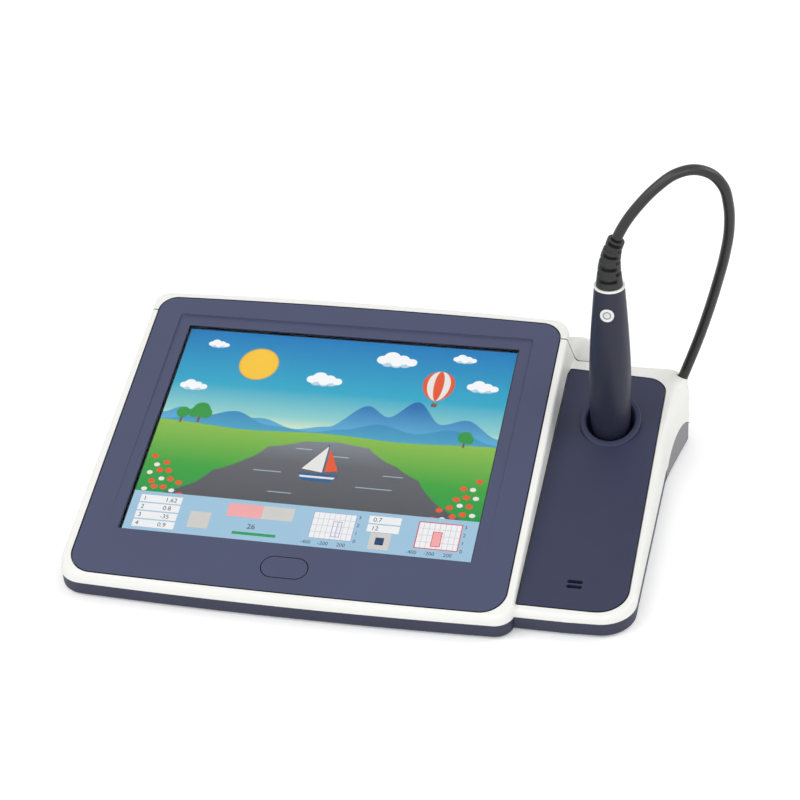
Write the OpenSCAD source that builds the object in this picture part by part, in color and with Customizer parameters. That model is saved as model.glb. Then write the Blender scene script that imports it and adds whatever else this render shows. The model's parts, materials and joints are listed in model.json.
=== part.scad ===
// Desk-top tympanometer: an inclined touch-screen block, a lower probe block with a
// cradle, and a handle probe on a cable. The desk is the plane z = 0, +X is to the
// right, +Y to the rear. The origin is under the middle of the housing.

/* [Screen] */
// Width of the display's active area
screen_w = 170.4; // [150:0.2:190]
// Height of the display's active area
screen_h = 127.8; // [112:0.2:140]
// Black margin between the active area and the edge of the opening
opening_margin = 1; // [0.5:0.1:2]
// Slope of the screen from the desk, in degrees
screen_tilt = 16; // [12:0.5:20]
// Navy border left and right of the opening
border_side = 19.1; // [16:0.1:24]
// Navy border above the opening
border_top = 18.7; // [16:0.1:24]
// Navy border below the opening, with room for the button
border_foot = 27.1; // [24:0.1:32]
// Thickness of the screen's navy panel
bezel_t = 2.6; // [2.4:0.1:3.2]
// Depth of the shallow step round the opening, at its upper edge
recess_depth = 1; // [0.4:0.1:1.2]
// Width of the stepped border round the opening
recess_border = 5.8; // [4:0.1:8]
// Thickness of the touch glass
glass_t = 1.1; // [0.7:0.1:1.4]
// Thickness of the display module
display_t = 8; // [6:0.2:9]

/* [Housing] */
// Height of the screen panel's front edge above the desk
front_h = 13.6; // [13:0.1:16]
// Visible white land between panel and edge rounding
land = 2.8; // [2.2:0.1:4]
// Width of the edge rounding on the left side
round_left = 2.7; // [1.5:0.1:4]
// Width of the edge rounding on the front
round_front = 1.9; // [1.2:0.1:3]
// Width of the edge rounding on the step between the blocks
round_step = 1.2; // [0.8:0.1:2]
// How far the front edge bows out
front_bow = 2.4; // [0.5:0.1:4]
// How far the rear edge bows out
rear_bow = 2.2; // [0.5:0.1:4]
// Wall thickness of the white shells
wall = 2.4; // [2:0.1:2.8]
// Height of the navy base strip
strip_h = 6.5; // [5.8:0.1:7.4]
// Floor thickness of the base
floor_t = 2.4; // [2:0.1:3]
// Height of the rubber feet below the base
foot_h = 0.8; // [0.5:0.1:1.2]

/* [Probe block] */
// Width of the probe block's navy panel
panel_w = 49.4; // [44:0.2:56]
// How far its rear edge lies in front of the screen block's rear
panel_rear_in = 15.2; // [14:0.1:18]
// Thickness of that panel
panel_t = 2.2; // [1.8:0.1:2.6]
// Slope of that panel, in degrees
panel_tilt = 10.9; // [9:0.1:12]
// Height of its front edge above the desk
panel_front_h = 12.75; // [12.4:0.05:14]
// Distance of its front edge behind the front of the screen block
panel_setback = 13.7; // [11:0.1:16]
// How far the side wall flares out at the rear right corner
flare = 7.6; // [4:0.2:9]
// Length of that flare
flare_l = 42; // [30:1:46]
// Rise of the base strip at the rear right corner
arch_rise = 9.5; // [6:0.1:11]

/* [Probe] */
// Distance of the cradle from the panel's rear edge, along the slope
cradle_back = 34.8; // [33:0.1:40]
// Distance of the cradle from the panel's left edge
cradle_in = 26; // [22:0.2:28]
// Bore of the cradle
cradle_d = 23; // [22.6:0.1:24]
// Outer diameter of the cradle's lip
lip_d = 29.6; // [28.6:0.1:32]
// Slope of the lip, which rises towards the rear, in degrees
lip_tilt = 21.4; // [14:0.2:24]
// Height of the lip above the panel, at the middle of the cradle
lip_up = 3.2; // [3:0.1:4]
// Largest diameter of the probe handle
handle_d = 20.1; // [19:0.1:20.4]
// Height of the handle's top above the desk
handle_top = 113.2; // [104:0.4:116]
// Wall thickness of the handle
handle_wall = 1.8; // [1.4:0.1:2.2]
// Diameter of the handle's push button
push_d = 4.6; // [4:0.1:5]
// Diameter of the cable
cable_d = 5; // [4.6:0.1:5.2]

/* [Buttons] */
// Length of the pill-shaped button
pill_w = 22.3; // [18:0.1:24]
// Width of the pill-shaped button
pill_h = 11.3; // [9:0.1:12]
// Travel of the pill-shaped button
pill_travel = 0.8; // [0.5:0.1:1]
// Travel of the button on the handle
push_travel = 0.5; // [0.3:0.1:0.6]
// Gap round each button
button_gap = 0.35; // [0.3:0.05:0.5]

/* [Fit] */
// Gap between panels and shells
seam = 0.3; // [0.2:0.05:0.4]
// Clearance of parts that are seated in one another
fit = 0.1; // [0.05:0.05:0.2]
// Diameter of the housing screws
screw_d = 3; // [2.5:0.1:3.4]

/* [Hidden] */
$fn = 48;
e = 0.01;
big = 400;

NAVY = [0.19, 0.2, 0.31];
WHITE = [0.91, 0.91, 0.89];
BLACK = [0.09, 0.09, 0.1];
STEEL = [0.66, 0.67, 0.69];
GREEN = [0.1, 0.36, 0.2];

// Collar of the cable: how far it stands out of the side wall, its lean and diameter
collar_out = 3.55;
collar_lean = [3.1, 18.4, 0];
collar_d = 8.6;

// Screen block: sizes that follow from the display
opening_w = screen_w + 2 * opening_margin;
opening_h = screen_h + 2 * opening_margin;
bezel_w = opening_w + 2 * border_side;
bezel_h = opening_h + border_top + border_foot;
front_lip = land * 0.6 + round_front;
rear_lip = land * 0.6 + 2.9;
block_w = bezel_w + 2 * land + round_left + round_step;
side_land = 2.2;
side_round = 1.5;
side_w = seam + panel_w + side_land + side_round;
body_w = block_w + side_w + collar_out + collar_d / 2 * cos(collar_lean.y);
body_d = bezel_h * cos(screen_tilt) + front_lip + rear_lip;

x_left = -body_w / 2;
x_step = x_left + block_w;
x_side = x_step + side_w;
y_front = -body_d / 2;
y_rear = body_d / 2;
screen_x = x_left + round_left + land + bezel_w / 2;
bezel_low = -opening_h / 2 - border_foot;
bezel_high = opening_h / 2 + border_top;
screen_y = y_front + front_lip - bezel_low * cos(screen_tilt);
screen_z = front_h - bezel_low * sin(screen_tilt);

// Probe block: its panel lies on its own plane
panel_x = x_step + seam;
panel_y = y_front + panel_setback;
panel_rear_y = y_rear - panel_rear_in;
panel_l = (panel_rear_y - panel_y) / cos(panel_tilt);
cradle_up = panel_l - cradle_back;
cradle_x = panel_x + cradle_in;
cradle_y = panel_y + cradle_up * cos(panel_tilt);
cradle_z = panel_front_h + cradle_up * sin(panel_tilt);

base_z = foot_h;
floor_z = base_z + floor_t;
strip_z = base_z + strip_h;
shelf_t = 2;
shelf_w = 5;
roof = bezel_t + shelf_t;
probe_roof = panel_t + shelf_t;

function screen_height(y) = screen_z + (y - screen_y) * tan(screen_tilt);
function panel_height(y) = panel_front_h + (y - panel_y) * tan(panel_tilt);

// Seam of the rear cover: it leans back from the screen's land to the probe block
seam_top = [y_rear - 15, screen_height(y_rear - 15)];
seam_low = [panel_rear_y + 7, panel_height(panel_rear_y + 7) - 1.1];

function unit(v) = v / norm(v);
function xy(p) = [p.x, p.y];
function turned(v, a) = [v.x * cos(a) - v.y * sin(a), v.x * sin(a) + v.y * cos(a)];

// Points of the arc that rounds the corner b of the path a, b, c
function corner(a, b, c, r, n) =
    r <= 0 ? [b] :
    let (
        u = unit(a - b),
        v = unit(c - b),
        half = acos(u * v) / 2,
        start = b + u * r / tan(half),
        centre = b + unit(u + v) * r / sin(half),
        turn = 180 - 2 * half,
        side = u.x * v.y - u.y * v.x > 0 ? -1 : 1)
    [for (k = [0:n]) centre + turned(start - centre, side * turn * k / n)];

// Closed outline through corners [x, y, radius, steps]
function outline(v) =
    let (n = len(v))
    [for (i = [0:n - 1])
        each corner(xy(v[(i + n - 1) % n]), xy(v[i]), xy(v[(i + 1) % n]), v[i][2], v[i][3])];

// Points between two ends of a bowed edge whose middle lies at y
function bow(xa, xb, y, rise, n = 6) =
    [for (k = [1:n - 1]) [xa + (xb - xa) * k / n, y + rise * pow(2 * k / n - 1, 2), 0, 1]];

// Points along a side that sweeps outwards as it runs back
function sweep(x, ya, yb, out, n = 3) =
    [for (k = [0:n - 1]) [x + out * pow(k / n, 1.2), ya + (yb - ya) * k / n, 0, 1]];

// Outline of the screen block, drawn in by the four given amounts
function block_outline(left, front, right, rear, spread) =
    let (xa = x_left + left, xb = x_step - right, yf = y_front + front, yr = y_rear - rear)
    outline(concat(
        [[xa, yf + front_bow, 14 - left, 6]],
        bow(xa, xb, yf, front_bow),
        [[xb, yf + front_bow, 9 - right, 5]],
        sweep(xb, y_rear - 34, yr - rear_bow, spread),
        [[xb + spread, yr - rear_bow, 7 - right, 5]],
        bow(xb + spread, xa, yr, -rear_bow),
        [[xa, yr - rear_bow, 9 - left, 5]]));

// Outline of the probe block; its left end is hidden in the screen block
function probe_outline(front, right, rear, spread) =
    let (xa = x_step - 22, xb = x_side - right, yf = panel_y - 3.9 + front,
        yr = panel_rear_y + 8.4 - rear)
    outline(concat(
        [[xa, yf, 0, 1], [x_step + 24, yf, 0, 1], [xb, yf + 1.4, 16.5 - right, 7]],
        sweep(xb, yr - flare_l, yr + 1.5, spread),
        [[xb + spread, yr + 1.5, 6, 5], [x_step + 30, yr, 0, 1], [xa, yr, 0, 1]]));

// Outline of both blocks together, drawn in by the same amount all round
function foot_outline(in) =
    let (xa = x_left + in, xb = x_step - in, xc = x_side - in, yf = y_front + in, yr = y_rear - in,
        yp = panel_y - 3.9 + in, yq = panel_rear_y + 8.4 - in)
    outline(concat(
        [[xa, yf + front_bow, 14 - in, 6]],
        bow(xa, xb, yf, front_bow),
        [[xb, yf + front_bow, 9 - in, 5], [xb, yp, 0, 1], [x_step + 24, yp, 0, 1], [xc, yp + 1.4, 16.5 - in, 7]],
        sweep(xc, yq - flare_l, yq + 1.5, flare),
        [[xc + flare, yq + 1.5, 6, 5], [x_step + 30, yq, 0, 1], [xb + spread, yq, 0, 1],
            [xb + spread, yr - rear_bow, 4, 4]],
        bow(xb + spread, xa, yr, -rear_bow),
        [[xa, yr - rear_bow, 9 - in, 5]]));

spread = 1.5;
block_wide = block_outline(0, 0, 0, 0, spread);
block_land = block_outline(round_left, round_front, round_step, 2, 0);
probe_wide = probe_outline(0, 0, 0, flare);
probe_land = probe_outline(1.6, side_round, 2.4, 0.5);

// Section of the rounded edge: [share of the way in, share of the drop]
EDGE = [[0, 1], [0.12, 0.52], [0.4, 0.22], [0.7, 0.06], [1, 0]];
edge_drop = 1.9;

// Rings of a block whose walls stand on z and whose top lies on a sloping plane;
// where the outlines lie far apart the edge drops further by the given share
function block_rings(wide, inner, z, part, share) =
    concat(
        [[for (p = wide) [p.x, p.y, z]]],
        [for (s = EDGE)
            [for (i = [0:len(wide) - 1])
                let (p = wide[i] + (inner[i] - wide[i]) * s[0],
                    far = norm(wide[i] - inner[i]),
                    drop = edge_drop * far * (1 + share * max(0, far - 3)) * s[1])
                [p.x, p.y, (part == 0 ? screen_height(p.y) : panel_height(p.y)) - drop]]]);

// Ring of points round the centre c of a tube that runs along d
function ring_at(c, d, side, r, n) =
    let (u = unit(cross(side, d)), v = cross(d, u))
    [for (k = [0:n - 1]) c + (u * cos(360 * k / n) + v * sin(360 * k / n)) * r];
function tube_rings(path, r, n) =
    let (last = len(path) - 1)
    [for (i = [0:last])
        ring_at(path[i], unit(path[min(i + 1, last)] - path[max(i - 1, 0)]), [0, 0, 1], r, n)];

// Solid through rings of equal point counts, closed at both ends
module loft(rings) {
    n = len(rings[0]);
    polyhedron(
        points = [for (r = rings) each r],
        faces = concat(
            [[for (i = [0:n - 1]) i]],
            [for (k = [0:len(rings) - 2], i = [0:n - 1])
                [k * n + i, (k + 1) * n + i, (k + 1) * n + (i + 1) % n, k * n + (i + 1) % n]],
            [[for (i = [n - 1:-1:0]) (len(rings) - 1) * n + i]]),
        convexity = 10);
}

// Frames in which a sloping panel lies flat
module on_screen() {
    translate([screen_x, screen_y, screen_z]) rotate([screen_tilt, 0, 0]) children();
}
module on_panel() {
    translate([cradle_x, cradle_y, cradle_z]) rotate([panel_tilt, 0, 0]) children();
}
module under_screen(depth) {
    on_screen() translate([-big, -big, -big - depth]) cube([2 * big, 2 * big, big]);
}
module under_panel(depth) {
    on_panel() translate([-big, -big, -big - depth]) cube([2 * big, 2 * big, big]);
}
module slab(w, h, r, t) {
    linear_extrude(t) rounded(w, h, r);
}
module rounded(w, h, r) {
    polygon(outline([[-w / 2, -h / 2, r, 6], [w / 2, -h / 2, r, 6],
        [w / 2, h / 2, r, 6], [-w / 2, h / 2, r, 6]]));
}

// Outlines of the two navy panels, grown by a gap
function bezel_outline(grow) =
    let (xa = -bezel_w / 2 - grow, xb = bezel_w / 2 + grow, ya = bezel_low - grow, yb = bezel_high + grow)
    outline(concat(
        [[xa, ya + 1, 12 + grow, 7]],
        bow(xa, xb, ya, 1),
        [[xb, ya + 1, 12 + grow, 7], [xb, yb - 1.6, 10 + grow, 6]],
        bow(xb, xa, yb, -1.6),
        [[xa, yb - 1.6, 9 + grow, 6]]));
function panel_outline(grow) =
    let (xa = -cradle_in - grow, xb = panel_w - cradle_in + grow,
        ya = -cradle_up - grow, yb = panel_l - cradle_up + grow)
    outline([[xa, ya, 0.8, 2], [xb - 16, ya, 0, 1], [xb, ya + 1, 14 + grow, 7],
        [xb, yb, 9.5 + grow, 6], [xa, yb, 2.5, 3]]);

// Holes for the screws of the display bracket, in the shelf under the screen's panel
module lug_pilots() {
    on_screen() for (s = [-1, 1], y = lug_y)
        translate([s * lug_x, y, -roof - 1]) cylinder(d = lug_screw_d + fit, h = 10);
}

// Whole outer form of the housing above the base
module housing_form() {
    loft(block_rings(block_wide, block_land, strip_z + seam, 0, 0.3));
    loft(block_rings(probe_wide, probe_land, strip_z + seam, 1, 0));
}

// Shoulder of the rear cover that runs from the screen block down to the probe block
module shoulder(grow) {
    x0 = x_step - 6;
    z0 = panel_height(panel_rear_y);
    translate([0, y_rear - rear_bow - 0.6 - grow, 0]) rotate([90, 0, 0])
        linear_extrude(y_rear - rear_bow - 0.6 - seam_low.x - 2 * grow)
            polygon(concat(
                [[x0, z0 - 24], [x0, z0 + 13.4 - grow]],
                [for (k = [0:8]) let (a = 90 - 90 * k / 8)
                    [x_step + 3 + (14 - grow) * cos(a), z0 + 0.5 + (11 - grow) * sin(a)]],
                [[x_step + 17 - grow, z0 - 24]]));
}

// Everything that is hollow inside the housing
module housing_void() {
    intersection() {
        translate([0, 0, -1]) linear_extrude(big)
            polygon(block_outline(wall, wall, wall, wall, spread));
        under_screen(roof);
    }
    intersection() {
        translate([0, 0, -1]) linear_extrude(big)
            polygon(probe_outline(wall, wall, wall, flare));
        under_panel(probe_roof);
    }
}

// Pockets and windows for the two navy panels
module panel_pockets() {
    on_screen() {
        translate([0, 0, -bezel_t]) linear_extrude(big) polygon(bezel_outline(seam));
        translate([0, 0, -roof - 1]) linear_extrude(big) polygon(bezel_outline(-shelf_w));
    }
    on_panel() {
        translate([0, 0, -panel_t]) linear_extrude(30) polygon(panel_outline(seam));
        translate([0, 0, -probe_roof - 1]) linear_extrude(20) polygon(panel_outline(-shelf_w));
    }
}

// Space behind the seam of the rear cover, moved back by a gap
module rear_zone(gap) {
    translate([-big / 2, 0, 0]) rotate([90, 0, 90]) linear_extrude(big)
        polygon([[seam_top.x + gap - 8, seam_top.y + 19], [seam_top.x + gap, seam_top.y],
            [seam_low.x + gap, seam_low.y], [seam_low.x + gap, -e], [big, -e], [big, seam_top.y + 19]]);
}

// Arch under the white side wall at the rear right corner
arch_y = panel_rear_y - 11;
arch_chord = 18.6;
arch_r = (arch_chord * arch_chord + arch_rise * arch_rise) / (2 * arch_rise);
module arch(grow) {
    translate([x_side - 9, arch_y, strip_z + arch_rise - arch_r]) rotate([0, 90, 0])
        cylinder(r = arch_r + grow, h = 40, $fn = 96);
}

// Places of the screws that join base and top housing
boss_d = 6;
boss_in = wall + 2.6;
front_bosses = [for (x = [x_left + boss_in, x_step - boss_in], y = [-0.62 * y_rear, 0.3 * y_rear]) [x, y]];
side_bosses = [for (y = [-0.55 * y_rear, 0.02 * y_rear]) [x_side - boss_in, y]];
function rear_wall(x) = y_rear - rear_bow * pow(2 * (x - x_left) / block_w - 1, 2);
rear_bosses = [for (x = [x_left + wall + 14, x_step - 26]) [x, rear_wall(x) - boss_in]];

module bosses(places, h) {
    for (p = places) translate([p.x, p.y, floor_z + fit]) cylinder(d = boss_d, h = h);
}
module pilots(places) {
    for (p = places) translate([p.x, p.y, floor_z - 1]) cylinder(d = screw_d * 0.8, h = 11);
}

// White shell: lands, step and side walls, with the screw bosses
module top_housing() {
    color(WHITE) difference() {
        union() {
            difference() {
                housing_form();
                housing_void();
            }
            intersection() {
                bosses(front_bosses, big);
                under_screen(bezel_t + 0.5);
            }
            intersection() {
                bosses(side_bosses, big);
                under_panel(panel_t + 0.5);
            }
        }
        panel_pockets();
        rear_zone(0);
        arch(seam);
        collar_space(fit);
        pilots(concat(front_bosses, side_bosses));
        lug_pilots();
    }
}

// White cover behind the seam: rear land, rear wall and the shoulder beside the step
module rear_cover() {
    color(WHITE) difference() {
        union() {
            difference() {
                intersection() {
                    housing_form();
                    rear_zone(seam);
                }
                housing_void();
            }
            difference() {
                intersection() {
                    shoulder(0);
                    rear_zone(seam);
                }
                shoulder(wall);
                translate([0, 0, -big + panel_height(panel_rear_y) - 3]) cube([big, big, big]);
                intersection() {
                    translate([0, 0, -1]) linear_extrude(big)
                        polygon(block_outline(wall, wall, wall, wall, spread));
                    under_screen(roof);
                }
            }
            bosses(rear_bosses, 30);
        }
        panel_pockets();
        arch(seam);
        collar_space(fit);
        pilots(rear_bosses);
        port_cuts();
    }
}

// Places of the sockets in the rear wall, as [distance from the screen's middle, width, height]
power_place = [62, 12, 11];
data_place = [36, 14, 12.5];
port_z = strip_z + seam + 1.5;
port_y = y_rear - 3.6;
module port_cuts() {
    for (p = [power_place, data_place])
        translate([screen_x + p[0] - p[1] / 2 - fit, port_y - 6, port_z - fit])
            cube([p[1] + 2 * fit, 20, p[2] + 2 * fit]);
}

// Navy lower shell: floor, strip and the rise at the rear right corner
module base_shell() {
    low = 1.2;
    inset = 0.25;
    color(NAVY) difference() {
        union() {
            loft([for (k = [[0, low + inset], [low * 0.35, low * 0.35 + inset], [low, inset]])
                [for (p = foot_outline(k[1])) [p.x, p.y, base_z + k[0]]]]);
            translate([0, 0, base_z + low]) linear_extrude(strip_h - low) polygon(foot_outline(inset));
            intersection() {
                translate([0, 0, strip_z - 1]) linear_extrude(arch_rise + 2)
                    polygon(probe_outline(inset, inset, inset, flare));
                arch(0);
            }
        }
        translate([0, 0, floor_z]) linear_extrude(big) polygon(foot_outline(wall));
        for (p = concat(front_bosses, side_bosses, rear_bosses)) translate([p.x, p.y, 0]) {
            translate([0, 0, floor_z]) cylinder(d = boss_d + 0.5, h = 20);
            cylinder(d = screw_d + 0.4, h = 20);
            translate([0, 0, -1]) cylinder(d = 2 * screw_d + 0.4, h = 1 + base_z + 1.3);
        }
        for (p = feet) translate([p.x, p.y, base_z - e]) cylinder(d = foot_d + 2 * fit, h = 0.8);
        // Cooling slots under the board
        for (k = [0:7])
            translate([board_x - 35 + 10 * k, board_y - 12, 0]) linear_extrude(20) rounded(2.4, 34, 1.1);
    }
    color(NAVY) for (p = board_posts) translate([p.x, p.y, floor_z - e]) difference() {
        cylinder(d = 6, h = board_z - floor_z + e);
        cylinder(d = 2, h = 20);
    }
}

// Navy panel round the screen
module screen_bezel() {
    rebate_w = opening_w + 14;
    rebate_h = opening_h + 10;
    color(NAVY) on_screen() difference() {
        union() {
            translate([0, 0, -bezel_t + fit]) linear_extrude(bezel_t - fit) polygon(bezel_outline(0));
            for (s = [-1, 1]) translate([s * post_x, pill_y, -switch_n])
                cylinder(d = post_d, h = switch_n - 1);
        }
        // Opening, and the rebate behind it for the touch glass
        translate([0, 0, -5]) slab(opening_w, opening_h, 0.8, 10);
        translate([0, 0, -bezel_t - 1]) slab(rebate_w, rebate_h, 2, 1 + bezel_t - glass_n);
        // Shallow step round the opening, which fades out towards its foot
        recess();
        // Hole for the button, with a fine groove round it
        translate([0, pill_y, -9]) pill(pill_w + 2 * button_gap, pill_h + 2 * button_gap, 20);
    }
}
glass_n = recess_depth + 0.7;
recess_w = opening_w + 2 * recess_border;
recess_top = opening_h / 2 + recess_border + 0.3;
recess_foot = -opening_h / 2 - 2.2;
module recess() {
    fall = atan(recess_depth / (recess_top - recess_foot));
    translate([0, recess_foot, 0]) rotate([-fall, 0, 0])
        translate([-recess_w / 2, 0, 0]) cube([recess_w, recess_top - recess_foot, 5]);
}
module pill(w, h, t) {
    translate([0, 0, 0]) {
        translate([-w / 2 + h / 2, -h / 2, 0]) cube([w - h, h, t]);
        for (s = [-1, 1]) translate([s * (w - h) / 2, 0, 0]) cylinder(d = h, h = t);
    }
}

// Clear touch panel in the rebate behind the opening
module touch_glass() {
    color([0.1, 0.12, 0.14, 0.5]) on_screen()
        translate([0, 0, -glass_n - glass_t]) slab(opening_w + 13.6, opening_h + 9.6, 1.8, glass_t);
}

// Display cell: the lit surface under the glass
cell_t = 1.2;
module screen_panel() {
    color([0.15, 0.55, 0.75]) on_screen()
        translate([0, 0, -glass_n - glass_t - fit - cell_t]) slab(screen_w + 3, screen_h + 3, 0.5, cell_t);
}

// Display module: metal frame and back, shifted up to clear the button
lug_w = 6;
lug_x = bezel_w / 2 - shelf_w + 2.2;
lug_y = [-0.3 * screen_h, 0.3 * screen_h];
lug_screw_d = 2.2;
display_w = 2 * lug_x - lug_w - 0.8;
display_h = screen_h + 18.4;
display_up = 2.4;
display_n = glass_n + glass_t + fit;
module display_module() {
    color(STEEL) on_screen() difference() {
        translate([0, display_up, -display_n - display_t]) slab(display_w, display_h, 1.5, display_t);
        translate([0, 0, -display_n - cell_t - fit]) slab(screen_w + 3.2, screen_h + 3.2, 0.5, 5);
        // Shallow field in the back with the lamp's cover plate
        translate([0, display_up, -display_n - display_t - 1]) slab(display_w - 30, display_h - 30, 3, 1.8);
    }
}

// Frame that carries the display and is screwed to the housing's shelf
bracket_t = 1.2;
bracket_n = display_n + display_t + fit;
module display_bracket() {
    color(STEEL) on_screen() difference() {
        union() {
            translate([0, display_up, -bracket_n - bracket_t]) slab(display_w + 2.4, display_h, 2, bracket_t);
            for (s = [-1, 1], y = lug_y)
                translate([s * lug_x - lug_w / 2, y - 5, -bracket_n - bracket_t])
                    cube([lug_w, 10, bracket_n + bracket_t - roof - fit]);
        }
        translate([0, display_up, -20]) slab(display_w - 16, display_h - 20, 4, 20);
        for (s = [-1, 1], y = lug_y) translate([s * lug_x, y, -30]) cylinder(d = lug_screw_d + 2 * fit, h = 40);
    }
}
module bracket_screws() {
    color(STEEL) on_screen() for (s = [-1, 1], y = lug_y)
        translate([s * lug_x, y, -bracket_n - bracket_t - 1.4]) {
            cylinder(d = 4, h = 1.4 - e);
            cylinder(d = lug_screw_d, h = bracket_n + bracket_t + 1.4 - bezel_t - 0.4);
        }
}

// Pill-shaped button: cap, two retaining wings and a stem over its switch
pill_y = -opening_h / 2 - border_foot / 2 + 0.3;
cap_n = bezel_t + 0.2;
stem_n = cap_n + 2.2;
switch_n = stem_n + pill_travel + 1.6;
wing = 1.6;
post_d = 3.4;
post_x = pill_w / 2 + wing + post_d / 2 + 0.5;
switch_w = 2 * post_x + post_d + 1;
module home_button() {
    color(NAVY) on_screen() translate([0, pill_y, 0]) {
        translate([0, 0, -cap_n]) pill(pill_w, pill_h, cap_n);
        translate([-pill_w / 2 - wing, -pill_h / 4, -cap_n - 0.9])
            cube([pill_w + 2 * wing, pill_h / 2, 0.9 + e]);
        translate([0, 0, -stem_n]) cylinder(d = 3, h = 2);
    }
}
module home_switch() {
    color(GREEN) on_screen() translate([0, pill_y, 0]) {
        translate([-switch_w / 2, -6, -switch_n - 1.2]) cube([switch_w, 12, 1.2 - fit]);
    }
    color(BLACK) on_screen() translate([0, pill_y, -switch_n - 2 * fit]) {
        translate([-3, -3, 0]) cube([6, 6, 1.1]);
        cylinder(d = 2.6, h = switch_n - fit - stem_n - pill_travel);
    }
}

// Control board on posts in the base
board_w = 118;
board_d = 84;
board_t = 1.6;
board_x = screen_x + 34;
board_y = 0.33 * y_rear;
board_z = floor_z + 4.4;
board_posts = [for (sx = [-1, 1], sy = [-1, 1])
    [board_x + sx * (board_w / 2 - 5), board_y + sy * (board_d / 2 - 5)]];
module main_board() {
    color(GREEN) difference() {
        translate([board_x - board_w / 2, board_y - board_d / 2, board_z + fit])
            cube([board_w, board_d, board_t]);
        for (p = board_posts) translate([p.x, p.y, 0]) cylinder(d = 2.8, h = 30);
    }
    // Processor with its heat spreader, and rows of connectors
    color(BLACK) translate([board_x, board_y, board_z + fit + board_t - e]) {
        translate([-14, -14, 0]) cube([28, 28, 2.4]);
        for (k = [0:3]) translate([-48 + 20 * k, 24, 0]) cube([14, 5, 4.5]);
        for (k = [0:2]) translate([28, -28 + 15 * k, 0]) cube([9, 9, 1.4]);
    }
}
module board_screws() {
    color(STEEL) for (p = board_posts) translate([p.x, p.y, board_z + fit + board_t + 0.02]) {
        cylinder(d = 4.4, h = 1.6);
        translate([0, 0, -5]) cylinder(d = 1.9, h = 5.1);
    }
}

// Air pump: head with its nozzle, driven by the motor beside it
pump_x = x_left + wall + 16;
pump_y = 0.52 * y_rear;
pump_z = floor_z + 15.2;
pump_d = 24;
pump_l = 18;
motor_l = 26;
module pump_head() {
    color(BLACK) {
        translate([pump_x, pump_y, pump_z]) rotate([0, 90, 0]) difference() {
            union() {
                cylinder(d = pump_d, h = pump_l);
                translate([pump_z - floor_z - fit - 4, -pump_d / 2, 0]) cube([4, pump_d, pump_l]);
                translate([0, -pump_d / 2 + 1, 0]) cube([pump_z - floor_z - fit - 1, pump_d - 2, pump_l]);
            }
            translate([0, 0, -1]) cylinder(d = 8, h = 3);
        }
        translate([pump_x + pump_l / 2, pump_y - pump_d / 2 + 0.5, pump_z]) rotate([90, 0, 0])
            difference() {
                cylinder(d = nipple_d, h = 7.5);
                translate([0, 0, 1]) cylinder(d = 1.6, h = 8);
            }
    }
}
module pump_motor() {
    color(STEEL) translate([pump_x + pump_l + fit, pump_y, pump_z]) rotate([0, 90, 0]) {
        cylinder(d = pump_d - 3, h = motor_l);
        translate([0, 0, motor_l - e]) cylinder(d = 8, h = 2.4);
    }
}

// Pressure sensor on the air line
nipple_d = 3.4;
sensor = [pump_x + pump_l / 2, -0.2 * y_rear, floor_z + fit];
module pressure_sensor() {
    color(BLACK) translate(sensor) {
        translate([-7, -6, 0]) cube([14, 12, 8]);
        for (s = [-1, 1]) translate([0, s * 5.5, 5]) rotate([-s * 90, 0, 0]) difference() {
            cylinder(d = nipple_d, h = 7.5);
            translate([0, 0, 1]) cylinder(d = 1.6, h = 8);
        }
    }
}

// Soft air line from the pump over the sensor to the gland
line_d = 5.2;
line_z = sensor.z + 5;
module line_of(points) {
    loft(tube_rings(points, line_d / 2, 10));
}
// Rounded turn in plan, at one height
function turn_of(a, b, c, z) = [for (p = corner(a, b, c, 9, 4)) [p.x, p.y, z]];
module nipple_bore(y, z) {
    translate([sensor.x, y, z]) rotate([-90, 0, 0]) cylinder(d = nipple_d + fit, h = 8.2);
}
module air_tubes() {
    run_y = sensor.y - 27;
    color([0.85, 0.86, 0.84]) difference() {
        union() {
            line_of([[sensor.x, pump_y - pump_d / 2 - 1, pump_z], [sensor.x, pump_y - pump_d / 2 - 11, pump_z],
                [sensor.x, pump_y - pump_d / 2 - 17, pump_z - 1.5], [sensor.x, sensor.y + 23, line_z + 1.5],
                [sensor.x, sensor.y + 17, line_z], [sensor.x, sensor.y + 7, line_z]]);
            line_of(concat(
                [[sensor.x, sensor.y - 7, line_z]],
                turn_of([sensor.x, sensor.y], [sensor.x, run_y], [0, run_y], line_z),
                turn_of([0, run_y], [x_step + 6, run_y], [x_step + 6, 0], line_z),
                turn_of([x_step + 6, 0], [x_step + 6, cradle_y + 22], [x_side - 16, cradle_y + 25], line_z),
                [[x_side - 14, cradle_y + 26, line_z + 1], [x_side - 7, cradle_y + 30, line_z + 6],
                    [x_side - 3, collar_at.y + 0.5, line_z + 12]],
                [collar_at - 12.8 * collar_dir]));
        }
        nipple_bore(pump_y - pump_d / 2 - 8.2, pump_z);
        nipple_bore(sensor.y + 6, line_z);
        nipple_bore(sensor.y - 14.2, line_z);
    }
}

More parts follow.
